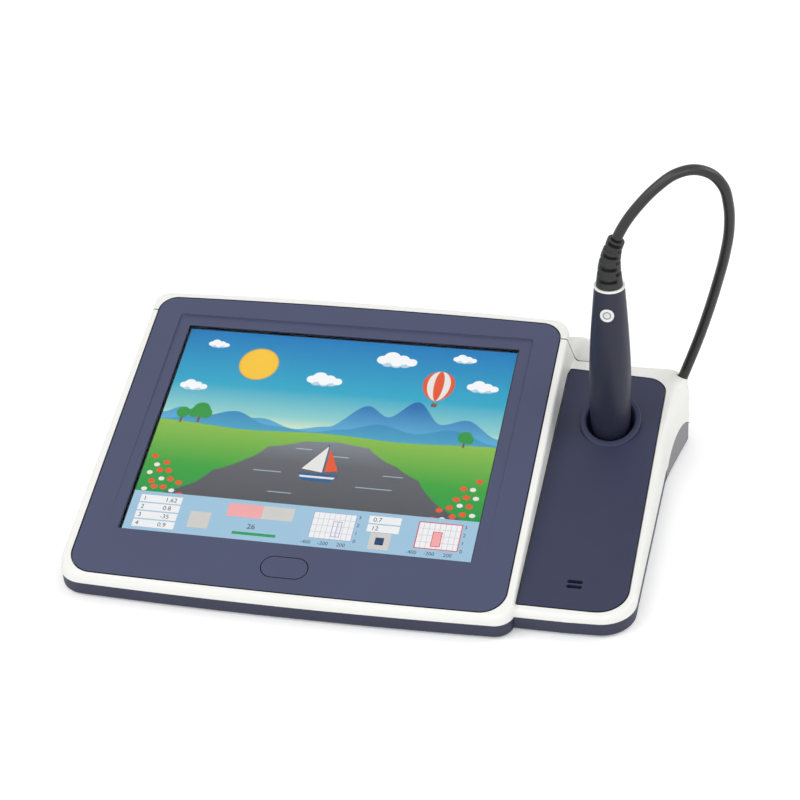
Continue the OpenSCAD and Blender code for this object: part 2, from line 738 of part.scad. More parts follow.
// Navy panel of the probe block, with the two slots in front of the speaker
slot_w = 7.2;
slot_gap = 2.9;
slot_x = -1.6;
slot_y = -cradle_up + 14.6;
module probe_panel() {
    color(NAVY) difference() {
        on_panel() translate([0, 0, -panel_t + fit]) linear_extrude(panel_t - fit) polygon(panel_outline(0));
        translate([cradle_x, cradle_y, 0]) cylinder(d = tube_d + 2 * fit + 0.2, h = big);
        on_panel() for (s = [-0.5, 0.5]) translate([slot_x, slot_y + s * slot_gap, -5])
            pill(slot_w, 1.8, 10);
    }
}
speaker_d = 18.4;
module speaker() {
    color(BLACK) on_panel() translate([slot_x, slot_y, -panel_t - 5.4]) {
        difference() {
            cylinder(d = speaker_d, h = 5.4 - fit);
            translate([0, 0, 3.4]) cylinder(d = speaker_d - 2.6, h = 4);
        }
        translate([0, 0, 3.4 - e]) cylinder(d1 = speaker_d - 3, d2 = 7, h = 1.2);
    }
}

// Space under the sloping rim of the cradle
module under_lip() {
    translate([cradle_x, cradle_y, cradle_z + lip_up]) rotate([lip_tilt, 0, 0])
        translate([-big, -big, -2 * big]) cube([2 * big, 2 * big, 2 * big]);
}

// Cradle: an upright tube with a seat for the probe, under a lip on the panel
tube_d = cradle_d + 3.4;
cup_z = floor_z + fit;
seat_z = floor_z + 20.85;
nose_d = 9.6;
module cradle_cup() {
    color(NAVY) difference() {
        union() {
            intersection() {
                translate([cradle_x, cradle_y, cup_z]) cylinder(d = tube_d, h = big / 4);
                under_panel(-0.3);
            }
            intersection() {
                translate([cradle_x, cradle_y, cradle_z - lip_d / 2]) cylinder(d = lip_d, h = lip_d);
                on_panel() translate([-big, -big, 0.02]) cube([2 * big, 2 * big, big]);
                under_lip();
            }
        }
        translate([cradle_x, cradle_y, 0]) {
            translate([0, 0, cup_z + 1.8]) cylinder(d = nose_d + 2.4, h = big / 4);
            translate([0, 0, seat_z]) cylinder(d1 = 0.7 * handle_d, d2 = cradle_d, h = 8);
            translate([0, 0, seat_z + 8 - e]) cylinder(d = cradle_d, h = big / 4);
        }
    }
}

// Sockets in the rear wall
module power_inlet() {
    color(BLACK) translate([screen_x + power_place[0], port_y, port_z]) difference() {
        translate([-power_place[1] / 2, -10, 0]) cube([power_place[1], 12.2, power_place[2]]);
        translate([0, -7, power_place[2] / 2]) rotate([-90, 0, 0]) difference() {
            cylinder(d = 5.7, h = 12);
            cylinder(d = 2, h = 11);
        }
    }
}
module data_port() {
    color(STEEL) translate([screen_x + data_place[0], port_y, port_z]) difference() {
        translate([-data_place[1] / 2, -12, 0]) cube([data_place[1], 14.2, data_place[2]]);
        translate([0, -10, data_place[2] / 2]) difference() {
            translate([-4.3, 0, -4]) cube([8.6, 14, 8]);
            translate([-2.8, -e, -1.6]) cube([5.6, 9, 3.2]);
        }
    }
}

// Collar at the rear right corner: the cable leaves it leaning to the right
collar_at = [x_side + collar_out, panel_rear_y + 2.2, panel_height(panel_rear_y + 2.2) - 0.8];
module on_collar() {
    translate(collar_at) rotate(collar_lean) children();
}
module collar_space(grow) {
    on_collar() translate([0, 0, -12]) cylinder(d = collar_d + 2 * grow, h = 30);
}
module cable_collar() {
    color(WHITE) on_collar() difference() {
        translate([0, 0, -9]) cylinder(d = collar_d, h = 9);
        translate([0, 0, -12]) cylinder(d = cable_d + 0.6, h = 20);
    }
}
module cable_gland() {
    color(BLACK) on_collar() difference() {
        union() {
            translate([0, 0, -10]) cylinder(d = cable_d + 0.6 - 2 * fit, h = 8.8);
            translate([0, 0, -11.5]) cylinder(d = collar_d, h = 2.5 - fit);
        }
        translate([0, 0, -12]) cylinder(d = 2.2, h = 8);
    }
}

// Rubber feet and screws
foot_d = 12;
feet = [[x_left + 24, y_front + 22], [x_side - 22, y_front + 30],
    [x_left + 24, y_rear - 26], [x_side - 22, panel_rear_y - 12]];
module rubber_feet() {
    color(BLACK) for (p = feet) translate([p.x, p.y, 0]) {
        cylinder(d1 = foot_d - 0.8, d2 = foot_d, h = 0.4);
        translate([0, 0, 0.4]) cylinder(d = foot_d, h = base_z + 0.7 - 0.4);
    }
}
module base_screws() {
    color(STEEL) for (p = concat(front_bosses, side_bosses, rear_bosses)) translate([p.x, p.y, base_z + 0.1])
        difference() {
            union() {
                cylinder(d = 2 * screw_d, h = 1.2 - fit);
                cylinder(d = screw_d * 0.8 - 0.1, h = 9);
            }
            translate([0, 0, -e]) cylinder(d = 2, h = 0.7, $fn = 6);
        }
}

// Probe handle: radius as [height above the desk as a share of the handle, radius share]
handle_low = seat_z + 0.35;
handle_h = handle_top - handle_low;
HANDLE = [[0, 0.66], [0.04, 0.8], [0.09, 0.9], [0.165, 0.965], [0.29, 0.995], [0.445, 1],
    [0.58, 0.965], [0.73, 0.895], [0.855, 0.82], [1, 0.725]];
function handle_r(s, shrink) = handle_d / 2 * lookup(s, HANDLE) - shrink;
module on_probe() {
    translate([cradle_x, cradle_y, 0]) children();
}
module probe_handle() {
    color(NAVY) on_probe() difference() {
        rotate_extrude() polygon(concat([[0, handle_low]],
            [for (h = HANDLE) [handle_d / 2 * h[1], handle_low + handle_h * h[0]]], [[0, handle_top]]));
        rotate_extrude() polygon(concat([[0, handle_low + 4]],
            [for (h = HANDLE) [max(handle_d / 2 * h[1] - handle_wall, 1),
                max(handle_low + 4, handle_low + handle_h * h[0] - (h[0] == 1 ? 4 : 0))]],
            [[0, handle_top - 4]]));
        translate([0, 0, handle_top - 5]) cylinder(d = 5, h = 10);
        translate([0, 0, handle_low - 1]) cylinder(d = 6, h = 10);
        on_face() push_hole();
    }
}

// White ring between handle and strain relief
ring_h = 0.9;
module probe_ring() {
    color(WHITE) on_probe() translate([0, 0, handle_top + 0.02]) difference() {
        cylinder(d = 0.725 * handle_d + 0.2, h = ring_h);
        translate([0, 0, -1]) cylinder(d = 5, h = 5);
    }
}

// Push button on the front of the handle, square to its tapering side
push_z = handle_top - 11.3;
push_share = (push_z - handle_low) / handle_h;
push_lean = atan((handle_r(push_share - 0.05, 0) - handle_r(push_share + 0.05, 0)) / (0.1 * handle_h));
module on_face() {
    translate([0, -handle_r(push_share, 0), push_z]) rotate([90 - push_lean, 0, 0]) children();
}
module on_push() {
    on_probe() on_face() children();
}
module push_hole() {
    translate([0, 0, -4]) cylinder(d = push_d + 2 * button_gap, h = 8);
    translate([0, 0, -0.9]) cylinder(d = push_d + 1.9 + 2 * fit, h = 4);
}
module probe_button_ring() {
    color(WHITE) on_push() translate([0, 0, -0.85]) difference() {
        cylinder(d = push_d + 1.9, h = 1.15);
        translate([0, 0, -1]) cylinder(d = push_d + 2 * button_gap, h = 4);
    }
}
module probe_button() {
    color([0.8, 0.8, 0.8]) on_push() {
        translate([0, 0, -1.9]) cylinder(d = push_d, h = 2.3);
        translate([0, 0, -2.4]) cylinder(d = push_d - 2, h = 0.6);
    }
}

// Inside the handle: board with the switch, transmitters and microphone
core_z = handle_low + 22;
module probe_board() {
    color(GREEN) on_probe() translate([-5, -0.8, core_z]) cube([10, 1.2, handle_h - 27.5]);
    color(BLACK) on_push() translate([-1.6, -1.6, -7.4]) cube([3.2, 3.2, 7.4 - 2.4 - push_travel - 0.3]);
}
module probe_receivers() {
    color(STEEL) on_probe() for (z = [core_z + 2, core_z + 14])
        translate([-3.2, 0.5, z]) cube([6.4, 4.6, 9]);
}
module probe_microphone() {
    color(STEEL) on_probe() translate([0, -0.8 - fit, core_z + 8]) rotate([90, 0, 0]) cylinder(d = 6, h = 2.6);
}

// Lower end of the probe, which stands in the cradle
nose_l = 9;
tip_l = 5.4;
module probe_nose() {
    color(BLACK) on_probe() difference() {
        union() {
            translate([0, 0, handle_low - nose_l]) cylinder(d1 = nose_d - 3, d2 = nose_d, h = nose_l - 0.02);
            translate([0, 0, handle_low - 0.02 - e]) cylinder(d = 5.8, h = 6);
        }
        translate([0, 0, handle_low - nose_l - 1]) cylinder(d = 3, h = 30);
    }
}
module probe_tip() {
    color([0.9, 0.9, 0.9]) on_probe() translate([0, 0, handle_low - nose_l - tip_l]) difference() {
        union() {
            cylinder(d1 = 3.4, d2 = 5, h = tip_l - 0.02);
            translate([0, 0, tip_l - 0.1]) cylinder(d = 2.8, h = 5);
        }
        translate([0, 0, -1]) cylinder(d = 1.6, h = 20);
    }
}

// Strain relief: straight at first, then bent to the right like the cable
relief_z = handle_top + 0.04 + ring_h;
relief_up = 6.9;
relief_bend = 19;
relief_r = 44.6;
relief_end = 3.2;
relief_arc = relief_bend * PI / 180 * relief_r;
relief_l = relief_up + relief_arc + relief_end;
function relief_angle(s) = min(max(0, (s - relief_up) / relief_r * 180 / PI), relief_bend);
function relief_at(s) =
    let (a = relief_angle(s), rest = max(0, s - relief_up - relief_arc))
    s < relief_up ? [0, 0, s] :
    [relief_r * (1 - cos(a)) + rest * sin(a), 0, relief_up + relief_r * sin(a) + rest * cos(a)];
module relief_disc(s, d1, d2, h) {
    translate(relief_at(s)) rotate([0, relief_angle(s), 0]) cylinder(d1 = d1, d2 = d2, h = h);
}
module probe_strain_relief() {
    ribs = 5;
    pitch = (relief_l - relief_end) / ribs;
    base_d = 12.7;
    end_d = 8.2;
    color(BLACK) on_probe() translate([0, 0, relief_z]) {
        for (k = [0:ribs - 1]) {
            d = base_d + (end_d + 0.9 - base_d) * k / ribs;
            relief_disc(k * pitch, d, d - 0.7, pitch * 0.68);
            // Core between the ribs, in short straight steps
            for (j = [0:2]) relief_disc((k + j / 3) * pitch, d - 3.4, d - 3.6, pitch * 0.42);
        }
        relief_disc(ribs * pitch - 0.4, end_d - 0.6, end_d - 0.6, 0.8);
        relief_disc(relief_l - relief_end, end_d, end_d, relief_end);
    }
}

// Cable: hand-chosen points from the collar to the strain relief, measured from the
// foot of the probe's axis
CABLE = [[30.7, 36, 41], [33, 35.6, 48], [37.5, 35, 62], [43, 32, 82], [47.7, 28.4, 102],
    [51.3, 24.4, 120], [53.3, 20.3, 136], [53, 16.6, 151], [50.4, 13.4, 162.5], [44.8, 10.9, 169.6],
    [37.4, 8.4, 172.4], [29.8, 6.1, 171], [21.5, 3.5, 165.2], [13.9, 1.5, 157], [7.2, 0.3, 147.2],
    [3.5, 0, 139.2]];
cable_sides = 10;
cable_last = len(CABLE) - 1;
// The points are stretched to meet the collar and the strain relief
function cable_at(i) = [for (a = [0:2]) cable_start[a] +
    (CABLE[i][a] - CABLE[0][a]) * (cable_end[a] - cable_start[a]) / (CABLE[cable_last][a] - CABLE[0][a])];
function cable_dir(i) = unit(cable_at(min(i + 1, cable_last)) - cable_at(max(i - 1, 0)));
function cable_ring(i) =
    let (
        d = i == 0 ? collar_dir : (i == cable_last ? -relief_dir : cable_dir(i)))
    ring_at(cable_at(i), d, [0, 1, 0], cable_d / 2, cable_sides);
collar_dir = [sin(collar_lean.y) * cos(collar_lean.x), -sin(collar_lean.x), cos(collar_lean.y) * cos(collar_lean.x)];
relief_dir = [sin(relief_bend), 0, cos(relief_bend)];
cable_start = collar_at - [cradle_x, cradle_y, 0] - 1.18 * collar_dir;
cable_end = [0, 0, relief_z] + relief_at(relief_l) + 0.02 * relief_dir;
module probe_cable() {
    color(BLACK) on_probe() loft([for (i = [0:cable_last]) cable_ring(i)]);
}

base_shell();
top_housing();
rear_cover();
screen_bezel();
touch_glass();
screen_panel();
display_module();
display_bracket();
home_button();
home_switch();
main_board();
pump_head();
pump_motor();
pressure_sensor();
air_tubes();
speaker();
probe_panel();
cradle_cup();
power_inlet();
data_port();
cable_collar();
cable_gland();
rubber_feet();
base_screws();
bracket_screws();
board_screws();
probe_handle();
probe_ring();
probe_strain_relief();
probe_button_ring();
probe_button();
probe_board();
probe_receivers();
probe_microphone();
probe_nose();
probe_tip();
probe_cable();
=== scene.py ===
import json
from math import acos, atan, cos, dist, hypot, pi, radians, sin, sqrt, tan

import bmesh
import bpy
from mathutils import Matrix, Vector
from mathutils.bvhtree import BVHTree
from mathutils.geometry import tessellate_polygon


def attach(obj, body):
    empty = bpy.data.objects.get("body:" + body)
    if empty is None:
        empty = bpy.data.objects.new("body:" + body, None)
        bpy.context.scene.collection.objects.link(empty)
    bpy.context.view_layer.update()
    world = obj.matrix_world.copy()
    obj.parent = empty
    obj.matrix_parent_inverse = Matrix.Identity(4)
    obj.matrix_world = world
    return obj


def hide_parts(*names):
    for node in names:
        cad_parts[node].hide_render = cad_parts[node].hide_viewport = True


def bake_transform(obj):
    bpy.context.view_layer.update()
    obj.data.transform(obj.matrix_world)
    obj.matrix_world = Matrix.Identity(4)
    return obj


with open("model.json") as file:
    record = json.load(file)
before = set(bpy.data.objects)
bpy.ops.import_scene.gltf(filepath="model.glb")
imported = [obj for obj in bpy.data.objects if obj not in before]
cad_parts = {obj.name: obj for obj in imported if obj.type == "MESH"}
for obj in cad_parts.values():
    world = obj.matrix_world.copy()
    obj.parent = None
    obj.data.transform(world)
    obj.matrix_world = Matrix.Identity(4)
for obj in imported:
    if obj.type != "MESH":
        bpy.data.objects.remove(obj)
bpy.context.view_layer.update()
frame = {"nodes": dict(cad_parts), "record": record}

MM = 0.001
scene = bpy.context.scene
SLOTS = {part["node"]: part["material_slot"] for part in frame["record"]["subparts"]}

# Sizes in mm, repeated from part.scad
SCREEN_W, SCREEN_H = 170.4, 127.8
OPEN_W, OPEN_H = SCREEN_W + 2, SCREEN_H + 2
TILT = radians(16)
BEZEL_T, RECESS = 2.6, 1
BEZEL_W = OPEN_W + 38.2
BEZEL_LOW, BEZEL_HIGH = -OPEN_H / 2 - 27.1, OPEN_H / 2 + 18.7
LAND, ROUND_LEFT, ROUND_FRONT, ROUND_STEP = 2.8, 2.7, 1.9, 1.2
FRONT_BOW, REAR_BOW = 2.4, 2.2
WALL, SEAM = 2.4, 0.3
BASE_Z = 0.8
PANEL_W, PANEL_T = 49.4, 2.2
PANEL_TILT = radians(10.9)
PANEL_FRONT_H = 12.75
FLARE, FLARE_L, ARCH_RISE = 7.6, 42, 9.5
CRADLE_D, LIP_D, LIP_UP = 23, 29.6, 3.2
LIP_TILT = radians(21.4)
TUBE_D = CRADLE_D + 3.4
HANDLE_D, HANDLE_LOW, HANDLE_TOP = 20.1, 24.4, 113.2
RING_H = 0.9
CABLE_D, COLLAR_D = 5, 8.6
PILL_W, PILL_H = 22.3, 11.3
PUSH_D = 4.6

BLOCK_W = BEZEL_W + 2 * LAND + ROUND_LEFT + ROUND_STEP
BODY_W = BLOCK_W + SEAM + PANEL_W + 3.7 + 3.55 + COLLAR_D / 2 * cos(radians(18.4))
BODY_D = (OPEN_H + 45.8) * cos(TILT) + LAND * 1.2 + ROUND_FRONT + 2.9
X_LEFT = -BODY_W / 2
X_STEP = X_LEFT + BLOCK_W
X_SIDE = X_STEP + SEAM + PANEL_W + 3.7
Y_FRONT, Y_REAR = -BODY_D / 2, BODY_D / 2
SCREEN_X = X_LEFT + ROUND_LEFT + LAND + BEZEL_W / 2
SCREEN_Y = Y_FRONT + LAND * 0.6 + ROUND_FRONT - BEZEL_LOW * cos(TILT)
SCREEN_Z = 13.6 - BEZEL_LOW * sin(TILT)
PANEL_X = X_STEP + SEAM
PANEL_Y = Y_FRONT + 13.7
PANEL_REAR_Y = Y_REAR - 15.2
PANEL_L = (PANEL_REAR_Y - PANEL_Y) / cos(PANEL_TILT)
CRADLE_IN = 26
CRADLE_UP = PANEL_L - 34.8
CRADLE = Vector((PANEL_X + CRADLE_IN, PANEL_Y + CRADLE_UP * cos(PANEL_TILT),
                 PANEL_FRONT_H + CRADLE_UP * sin(PANEL_TILT)))
AXIS = Vector((CRADLE.x, CRADLE.y, 0))
PILL_Y = -OPEN_H / 2 - 27.1 / 2 + 0.3


def screen_height(y):
    return SCREEN_Z + (y - SCREEN_Y) * tan(TILT)


def panel_height(y):
    return PANEL_FRONT_H + (y - PANEL_Y) * tan(PANEL_TILT)


SEAM_TOP = (Y_REAR - 15, screen_height(Y_REAR - 15))
SEAM_LOW = (PANEL_REAR_Y + 7, panel_height(PANEL_REAR_Y + 7) - 1.1)
COLLAR_Y = PANEL_REAR_Y + 2.2
COLLAR = Vector((X_SIDE + 3.55, COLLAR_Y, panel_height(COLLAR_Y) - 0.8))
lean_x, lean_y = radians(3.1), radians(18.4)
COLLAR_DIR = Vector((sin(lean_y) * cos(lean_x), -sin(lean_x), cos(lean_y) * cos(lean_x)))

ON_SCREEN = Matrix.Translation((SCREEN_X, SCREEN_Y, SCREEN_Z)) @ Matrix.Rotation(TILT, 4, "X")
ON_PANEL = Matrix.Translation(CRADLE) @ Matrix.Rotation(PANEL_TILT, 4, "X")
FROM_SCREEN, FROM_PANEL = ON_SCREEN.inverted(), ON_PANEL.inverted()

# Sizes that closer looks at the photograph gave
STRIP_Z = 7.8  # top of the base's navy strip
JOINT, DRAWN_IN = 0.38, 0.2  # joint round a panel: pocket larger, panel smaller
SEAM_FRONT, SEAM_BACK = -0.12, 0.45  # the seam's two sides, along y
LEFT_IN = 1.9  # how far the screen block's left wall leans in
CORNER_FRONT, CORNER_STEP, CORNER_BACK, CORNER_REAR = 14, 9, 9.4, 9


def new_object(name, data):
    """Object in the scene that shows a mesh, camera, light or text."""
    obj = bpy.data.objects.new(name, data)
    scene.collection.objects.link(obj)
    return obj


# Camera: the photograph's view, from the front right and rolled a little
AZIMUTH, HEIGHT, ROLL = radians(15.93), radians(34.55), radians(-4.54)
CAMERA_AT, LENS = (0.2328, -0.7742, 0.6210), 93.09
back = Vector((sin(AZIMUTH) * cos(HEIGHT), -cos(AZIMUTH) * cos(HEIGHT), sin(HEIGHT)))
level = Vector((0, 0, 1)).cross(back).normalized()
upright = back.cross(level)
right = level * cos(ROLL) + upright * sin(ROLL)
up = upright * cos(ROLL) - level * sin(ROLL)
data = bpy.data.cameras.new("photo_camera")
data.lens, data.sensor_width, data.clip_start = LENS, 36, 0.05
scene.camera = new_object("photo_camera", data)
scene.camera.matrix_world = Matrix.Translation(CAMERA_AT) @ Matrix((right, up, back)).transposed().to_4x4()
scene.view_settings.view_transform = "Standard"


# Numbers and curves
def clamp(value, low=0, high=1):
    return min(high, max(low, value))


def ease(t):
    """Smooth rise from 0 to 1."""
    return t * t * (3 - 2 * t)


def hermite(a, b, slope_a, slope_b, u):
    """Smooth way from a to b with the given slopes."""
    return a * (1 - ease(u)) + slope_a * (u ** 3 - 2 * u ** 2 + u) + b * ease(u) + slope_b * (u ** 3 - u ** 2)


def quarter(n):
    """Steps of a quarter round, as (share inwards, share of the drop)."""
    turns = [pi / 2 * k / n for k in range(n + 1)]
    return [(1 - cos(a), 1 - sin(a)) for a in turns]


def around(n):
    """Unit directions, n to a full turn."""
    turns = [2 * pi * k / n for k in range(n)]
    return [(cos(a), sin(a)) for a in turns]


def arc(x, y, rx, ry, first, last, n):
    """Points of an arc between two angles."""
    turns = [first + (last - first) * k / n for k in range(n + 1)]
    return [(x + rx * cos(a), y + ry * sin(a)) for a in turns]


# Outlines, as in part.scad but with finer steps
def corner(a, b, c, r=0, n=1):
    """Points of the arc that rounds the corner b of the path a, b, c."""
    if r <= 0:
        return [b]
    a, b, c = Vector(a), Vector(b), Vector(c)
    u, v = (a - b).normalized(), (c - b).normalized()
    half = acos(clamp(u.dot(v), -1)) / 2
    centre = b + (u + v).normalized() * r / sin(half)
    start = b + u * r / tan(half) - centre
    side = -1 if u.x * v.y - u.y * v.x > 0 else 1
    turn = side * (pi - 2 * half)
    return [tuple(centre + Matrix.Rotation(turn * k / n, 2) @ start) for k in range(n + 1)]


def outline(points):
    """Closed outline through corners (x, y) or (x, y, radius, steps)."""
    ring = []
    for a, b, c in zip(points[-1:] + points, points, points[1:] + points[:1]):
        ring += corner(a[:2], b[:2], c[:2], *b[2:])
    return ring


def bow(xa, xb, y, rise, n=24):
    """Points of a bowed edge with its middle at y, clear of the corners at its ends."""
    return [(xa + (xb - xa) * k / n, y + rise * (2 * k / n - 1) ** 2) for k in range(2, n - 1)]


def sweep(x, ya, yb, out, power=1.2, n=12):
    """Points along a side that sweeps outwards as it runs back."""
    return [(x + out * (k / n) ** power, ya + (yb - ya) * k / n) for k in range(n)]


def block_outline(inset, left=0, front=0, right=0, rear=0):
    """Outline of the screen block, drawn in all round and on single sides."""
    left, right = left + inset, right + inset
    xa, xb, yf, yr = X_LEFT + left, X_STEP - right, Y_FRONT + inset + front, Y_REAR - inset - rear
    return outline([(xa, yf + FRONT_BOW, CORNER_FRONT - left, 20)] + bow(xa, xb, yf, FRONT_BOW)
        + [(xb, yf + FRONT_BOW, CORNER_STEP - right, 16)] + sweep(xb, Y_REAR - 34, Y_REAR - 13, 0)
        + [(xb, yr - REAR_BOW, CORNER_BACK - right, 16)] + bow(xb, xa, yr, -REAR_BOW)
        + [(xa, yr - REAR_BOW, CORNER_REAR - left, 16)])


def probe_outline(inset, front=0, right=0, rear=0, spread=FLARE):
    """Outline of the probe block, drawn in alike; its left end is hidden in the screen block."""
    right, rear = right + inset, rear + inset
    xa, xb, yf, yr = X_STEP - 22, X_SIDE - right, PANEL_Y - 3.9 + inset + front, PANEL_REAR_Y + 8.4 - rear
    return outline([(xa, yf), (X_STEP + 24, yf), (xb, yf + 1.4, 16.5 - right, 24)]
        + sweep(xb, yr - FLARE_L, yr - 4, spread * (1 - 5.5 / FLARE_L))
        + [(xb + spread, yr + 1.5 - 0.9 * rear, 4.5, 14), (X_STEP + 34, yr - 0.7 * rear),
           (X_STEP + 16, yr), (xa, yr)])


def bezel_outline(grow):
    """Outline of the navy panel round the screen, grown by a gap."""
    xa, xb = -BEZEL_W / 2 - grow, BEZEL_W / 2 + grow
    ya, yb = BEZEL_LOW - grow, BEZEL_HIGH + grow
    return outline([(xa + 1, ya + 1, 12 + grow, 20)] + bow(xa, xb, ya, 1)
        + [(xb, ya + 1, 12 + grow, 20), (xb, yb - 1.6, 10 + grow, 20)] + bow(xb, xa, yb, -1.6)
        + [(xa, yb - 1.6, 9 + grow, 20)])


def panel_outline(grow):
    """Outline of the navy panel of the probe block, grown by a gap."""
    xa, xb = -CRADLE_IN - grow, PANEL_W - CRADLE_IN + grow
    ya, yb = -CRADLE_UP - grow, PANEL_L - CRADLE_UP + grow
    return outline([(xa, ya, 0.8, 4), (xb - 16, ya), (xb, ya + 1, 14 + grow, 24),
                    (xb, yb - 2.2, 9.5 + grow, 20), (xa, yb + 0.8, 2.5, 8)])


def rectangle(w, h, r, n=8):
    w, h = w / 2, h / 2
    return outline([(-w, -h, r, n), (w, -h, r, n), (w, h, r, n), (-w, h, r, n)])


def pill(x, y, w, h, n=24):
    return [(x + px, y + py) for px, py in rectangle(w, h, h / 2 - 0.001, n)]


def disc(x, y, r, n=40, squash=1):
    return [(x + r * c, y + squash * r * s) for c, s in around(n)]


# Meshes
def mesh_object(name, verts, faces, mat=None):
    """Object from points in mm."""
    mesh = bpy.data.meshes.new(name)
    mesh.from_pydata([Vector(v) * MM for v in verts], [], faces)
    mesh.validate()
    if mat:
        mesh.materials.append(mat)
    return new_object(name, mesh)


def evaluated_mesh(obj):
    """New mesh with the object's modifiers applied."""
    return bpy.data.meshes.new_from_object(obj.evaluated_get(bpy.context.evaluated_depsgraph_get()))


def split_faces(mesh, merge=0):
    """Join points closer than merge, and split faces of more than four corners."""
    work = bmesh.new()
    work.from_mesh(mesh)
    if merge:
        bmesh.ops.remove_doubles(work, verts=work.verts, dist=merge)
        bmesh.ops.dissolve_degenerate(work, edges=work.edges, dist=merge)
    bmesh.ops.triangulate(work, faces=[f for f in work.faces if len(f.verts) > 4])
    work.to_mesh(mesh)
    work.free()


def loft(name, rings, caps=True):
    """Surface through rings of equal point counts, closed by flat ends."""
    n, verts, faces = len(rings[0]), [p for r in rings for p in r], []
    for k in range(len(rings) - 1):
        for i in range(n):
            j = (i + 1) % n
            faces.append((k * n + i, k * n + j, (k + 1) * n + j, (k + 1) * n + i))
    if caps:
        faces += [tuple(reversed(range(n))), tuple(range((len(rings) - 1) * n, len(rings) * n))]
    obj = mesh_object(name, verts, faces)
    split_faces(obj.data)
    return obj


def raised(ring, height):
    """The outline's points at a height, which can be a function of y."""
    return [(x, y, height(y) if callable(height) else height) for x, y in ring]


def prism(name, ring, low, high):
    """Upright solid over an outline."""
    return loft(name, [raised(ring, low), raised(ring, high)])


def stepped(name, levels, frame_of):
    """Solid through (outline, height) levels of equal point counts."""
    return loft(name, [[frame_of @ Vector(p) for p in raised(*level)] for level in levels])


def lathe(name, profile, frame_of, n=96, caps=True):
    """Turned solid from (radius, height) points."""
    return loft(name, [[frame_of @ Vector((r * c, r * s, z)) for c, s in around(n)]
                       for r, z in profile], caps)


def tube(name, path, radius, n=32):
    """Tube round a path, whose rings turn as little as they can."""
    rings, side = [], Vector((0, 1, 0))
    last = len(path) - 1
    for i, p in enumerate(path):
        d = (path[min(i + 1, last)] - path[max(i - 1, 0)]).normalized()
        side = (side - d * side.dot(d)).normalized()
        up = d.cross(side)
        rings.append([p + (side * c + up * s) * radius for c, s in around(n)])
    return loft(name, rings)


def combine(a, b, operation):
    """Boolean of two solids; b is used up."""
    mod = a.modifiers.new("combine", "BOOLEAN")
    mod.operation, mod.object, mod.solver = operation, b, "MANIFOLD"
    mesh = evaluated_mesh(a)
    if not mesh.polygons:
        raise RuntimeError("empty result: " + a.name + " " + operation + " " + b.name)
    old, other = a.data, b.data
    a.modifiers.clear()
    a.data = mesh
    mesh.name = a.name
    bpy.data.meshes.remove(old)
    bpy.data.objects.remove(b)
    bpy.data.meshes.remove(other)
    return a


def cut(a, *tools):
    for b in tools:
        combine(a, b, "DIFFERENCE")
    return a


def finish_piece(obj, mat, node, body="housing", angle=32):
    """Smooth shading and material; attaches the piece to its body and hides the CAD node it stands in for."""
    mesh = obj.data
    split_faces(mesh, merge=2e-6)
    mesh.materials.clear()
    mesh.materials.append(mat)
    mesh.shade_smooth()
    mesh.set_sharp_from_angle(angle=radians(angle))
    mod = obj.modifiers.new("flat_faces", "WEIGHTED_NORMAL")
    mod.keep_sharp, mod.weight = True, 60
    fresh = evaluated_mesh(obj)
    obj.modifiers.clear()
    obj.data = fresh
    bpy.data.meshes.remove(mesh)
    fresh.name = obj.name
    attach(obj, body)
    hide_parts(node)


def shade_faces(obj, mat, test):
    """Give some faces a second material; test takes the centre in mm and the normal."""
    obj.data.materials.append(mat)
    for f in obj.data.polygons:
        if test(f.center / MM, f.normal):
            f.material_index = 1


# Materials
def srgb(color):
    """Colour as it is seen, 0 to 255, in linear light."""
    shares = [c / 255 for c in color]
    return tuple(c / 12.92 if c <= 0.04045 else ((c + 0.055) / 1.055) ** 2.4 for c in shares)


def fill(node, **values):
    """Give a shader node its settings and the values of its inputs."""
    for key, value in values.items():
        if hasattr(node, key):
            setattr(node, key, value)
        else:
            node.inputs[key.replace("_", " ")].default_value = value
    return node


def add_node(tree, kind, **values):
    return fill(tree.nodes.new(kind), **values)


def link(source, output, target, socket):
    source.id_data.links.new(source.outputs[output], target.inputs[socket])


def new_material(name, **sockets):
    mat = bpy.data.materials.new(name)
    mat.use_nodes = True
    return mat, mat.node_tree, fill(mat.node_tree.nodes["Principled BSDF"], **sockets)


def set_ramp(ramp, stops):
    """Colour ramp through (place, linear colour) stops."""
    elements = ramp.color_ramp.elements
    while len(elements) < len(stops):
        elements.new(0.5)
    for element, (place, shade) in zip(elements, stops):
        element.position, element.color = place, tuple(shade) + (1,)


def finish(name, color, rough, vary=0.05, spread=0.06, grain=2600, bump=0.05, stretch=(1, 1, 1), **sockets):
    """Finish whose shade and gloss change a little over the surface, with a fine moulded grain."""
    mat, tree, shader = new_material(name, **sockets)
    color = srgb(color)
    coords = add_node(tree, "ShaderNodeTexCoord")
    place = add_node(tree, "ShaderNodeMapping", Scale=stretch)
    link(coords, "Object", place, "Vector")
    cloud = add_node(tree, "ShaderNodeTexNoise", Scale=28, Detail=4, Roughness=0.55)
    fine = add_node(tree, "ShaderNodeTexNoise", Scale=grain, Detail=3, Roughness=0.6)
    for noise in (cloud, fine):
        link(place, "Vector", noise, "Vector")
    ramp = add_node(tree, "ShaderNodeValToRGB")
    set_ramp(ramp, [(0.3, [c * (1 - vary) for c in color]), (0.7, [min(1, c * (1 + vary)) for c in color])])
    link(cloud, "Fac", ramp, "Fac")
    link(ramp, "Color", shader, "Base Color")
    span = add_node(tree, "ShaderNodeMapRange", From_Min=0.3, From_Max=0.7,
                    To_Min=max(0.02, rough - spread), To_Max=min(1, rough + spread))
    link(fine, "Fac", span, "Value")
    link(span, "Result", shader, "Roughness")
    if bump:
        relief = add_node(tree, "ShaderNodeBump", Strength=bump, Distance=0.0002)
        link(fine, "Fac", relief, "Height")
        link(relief, "Normal", shader, "Normal")
    return mat


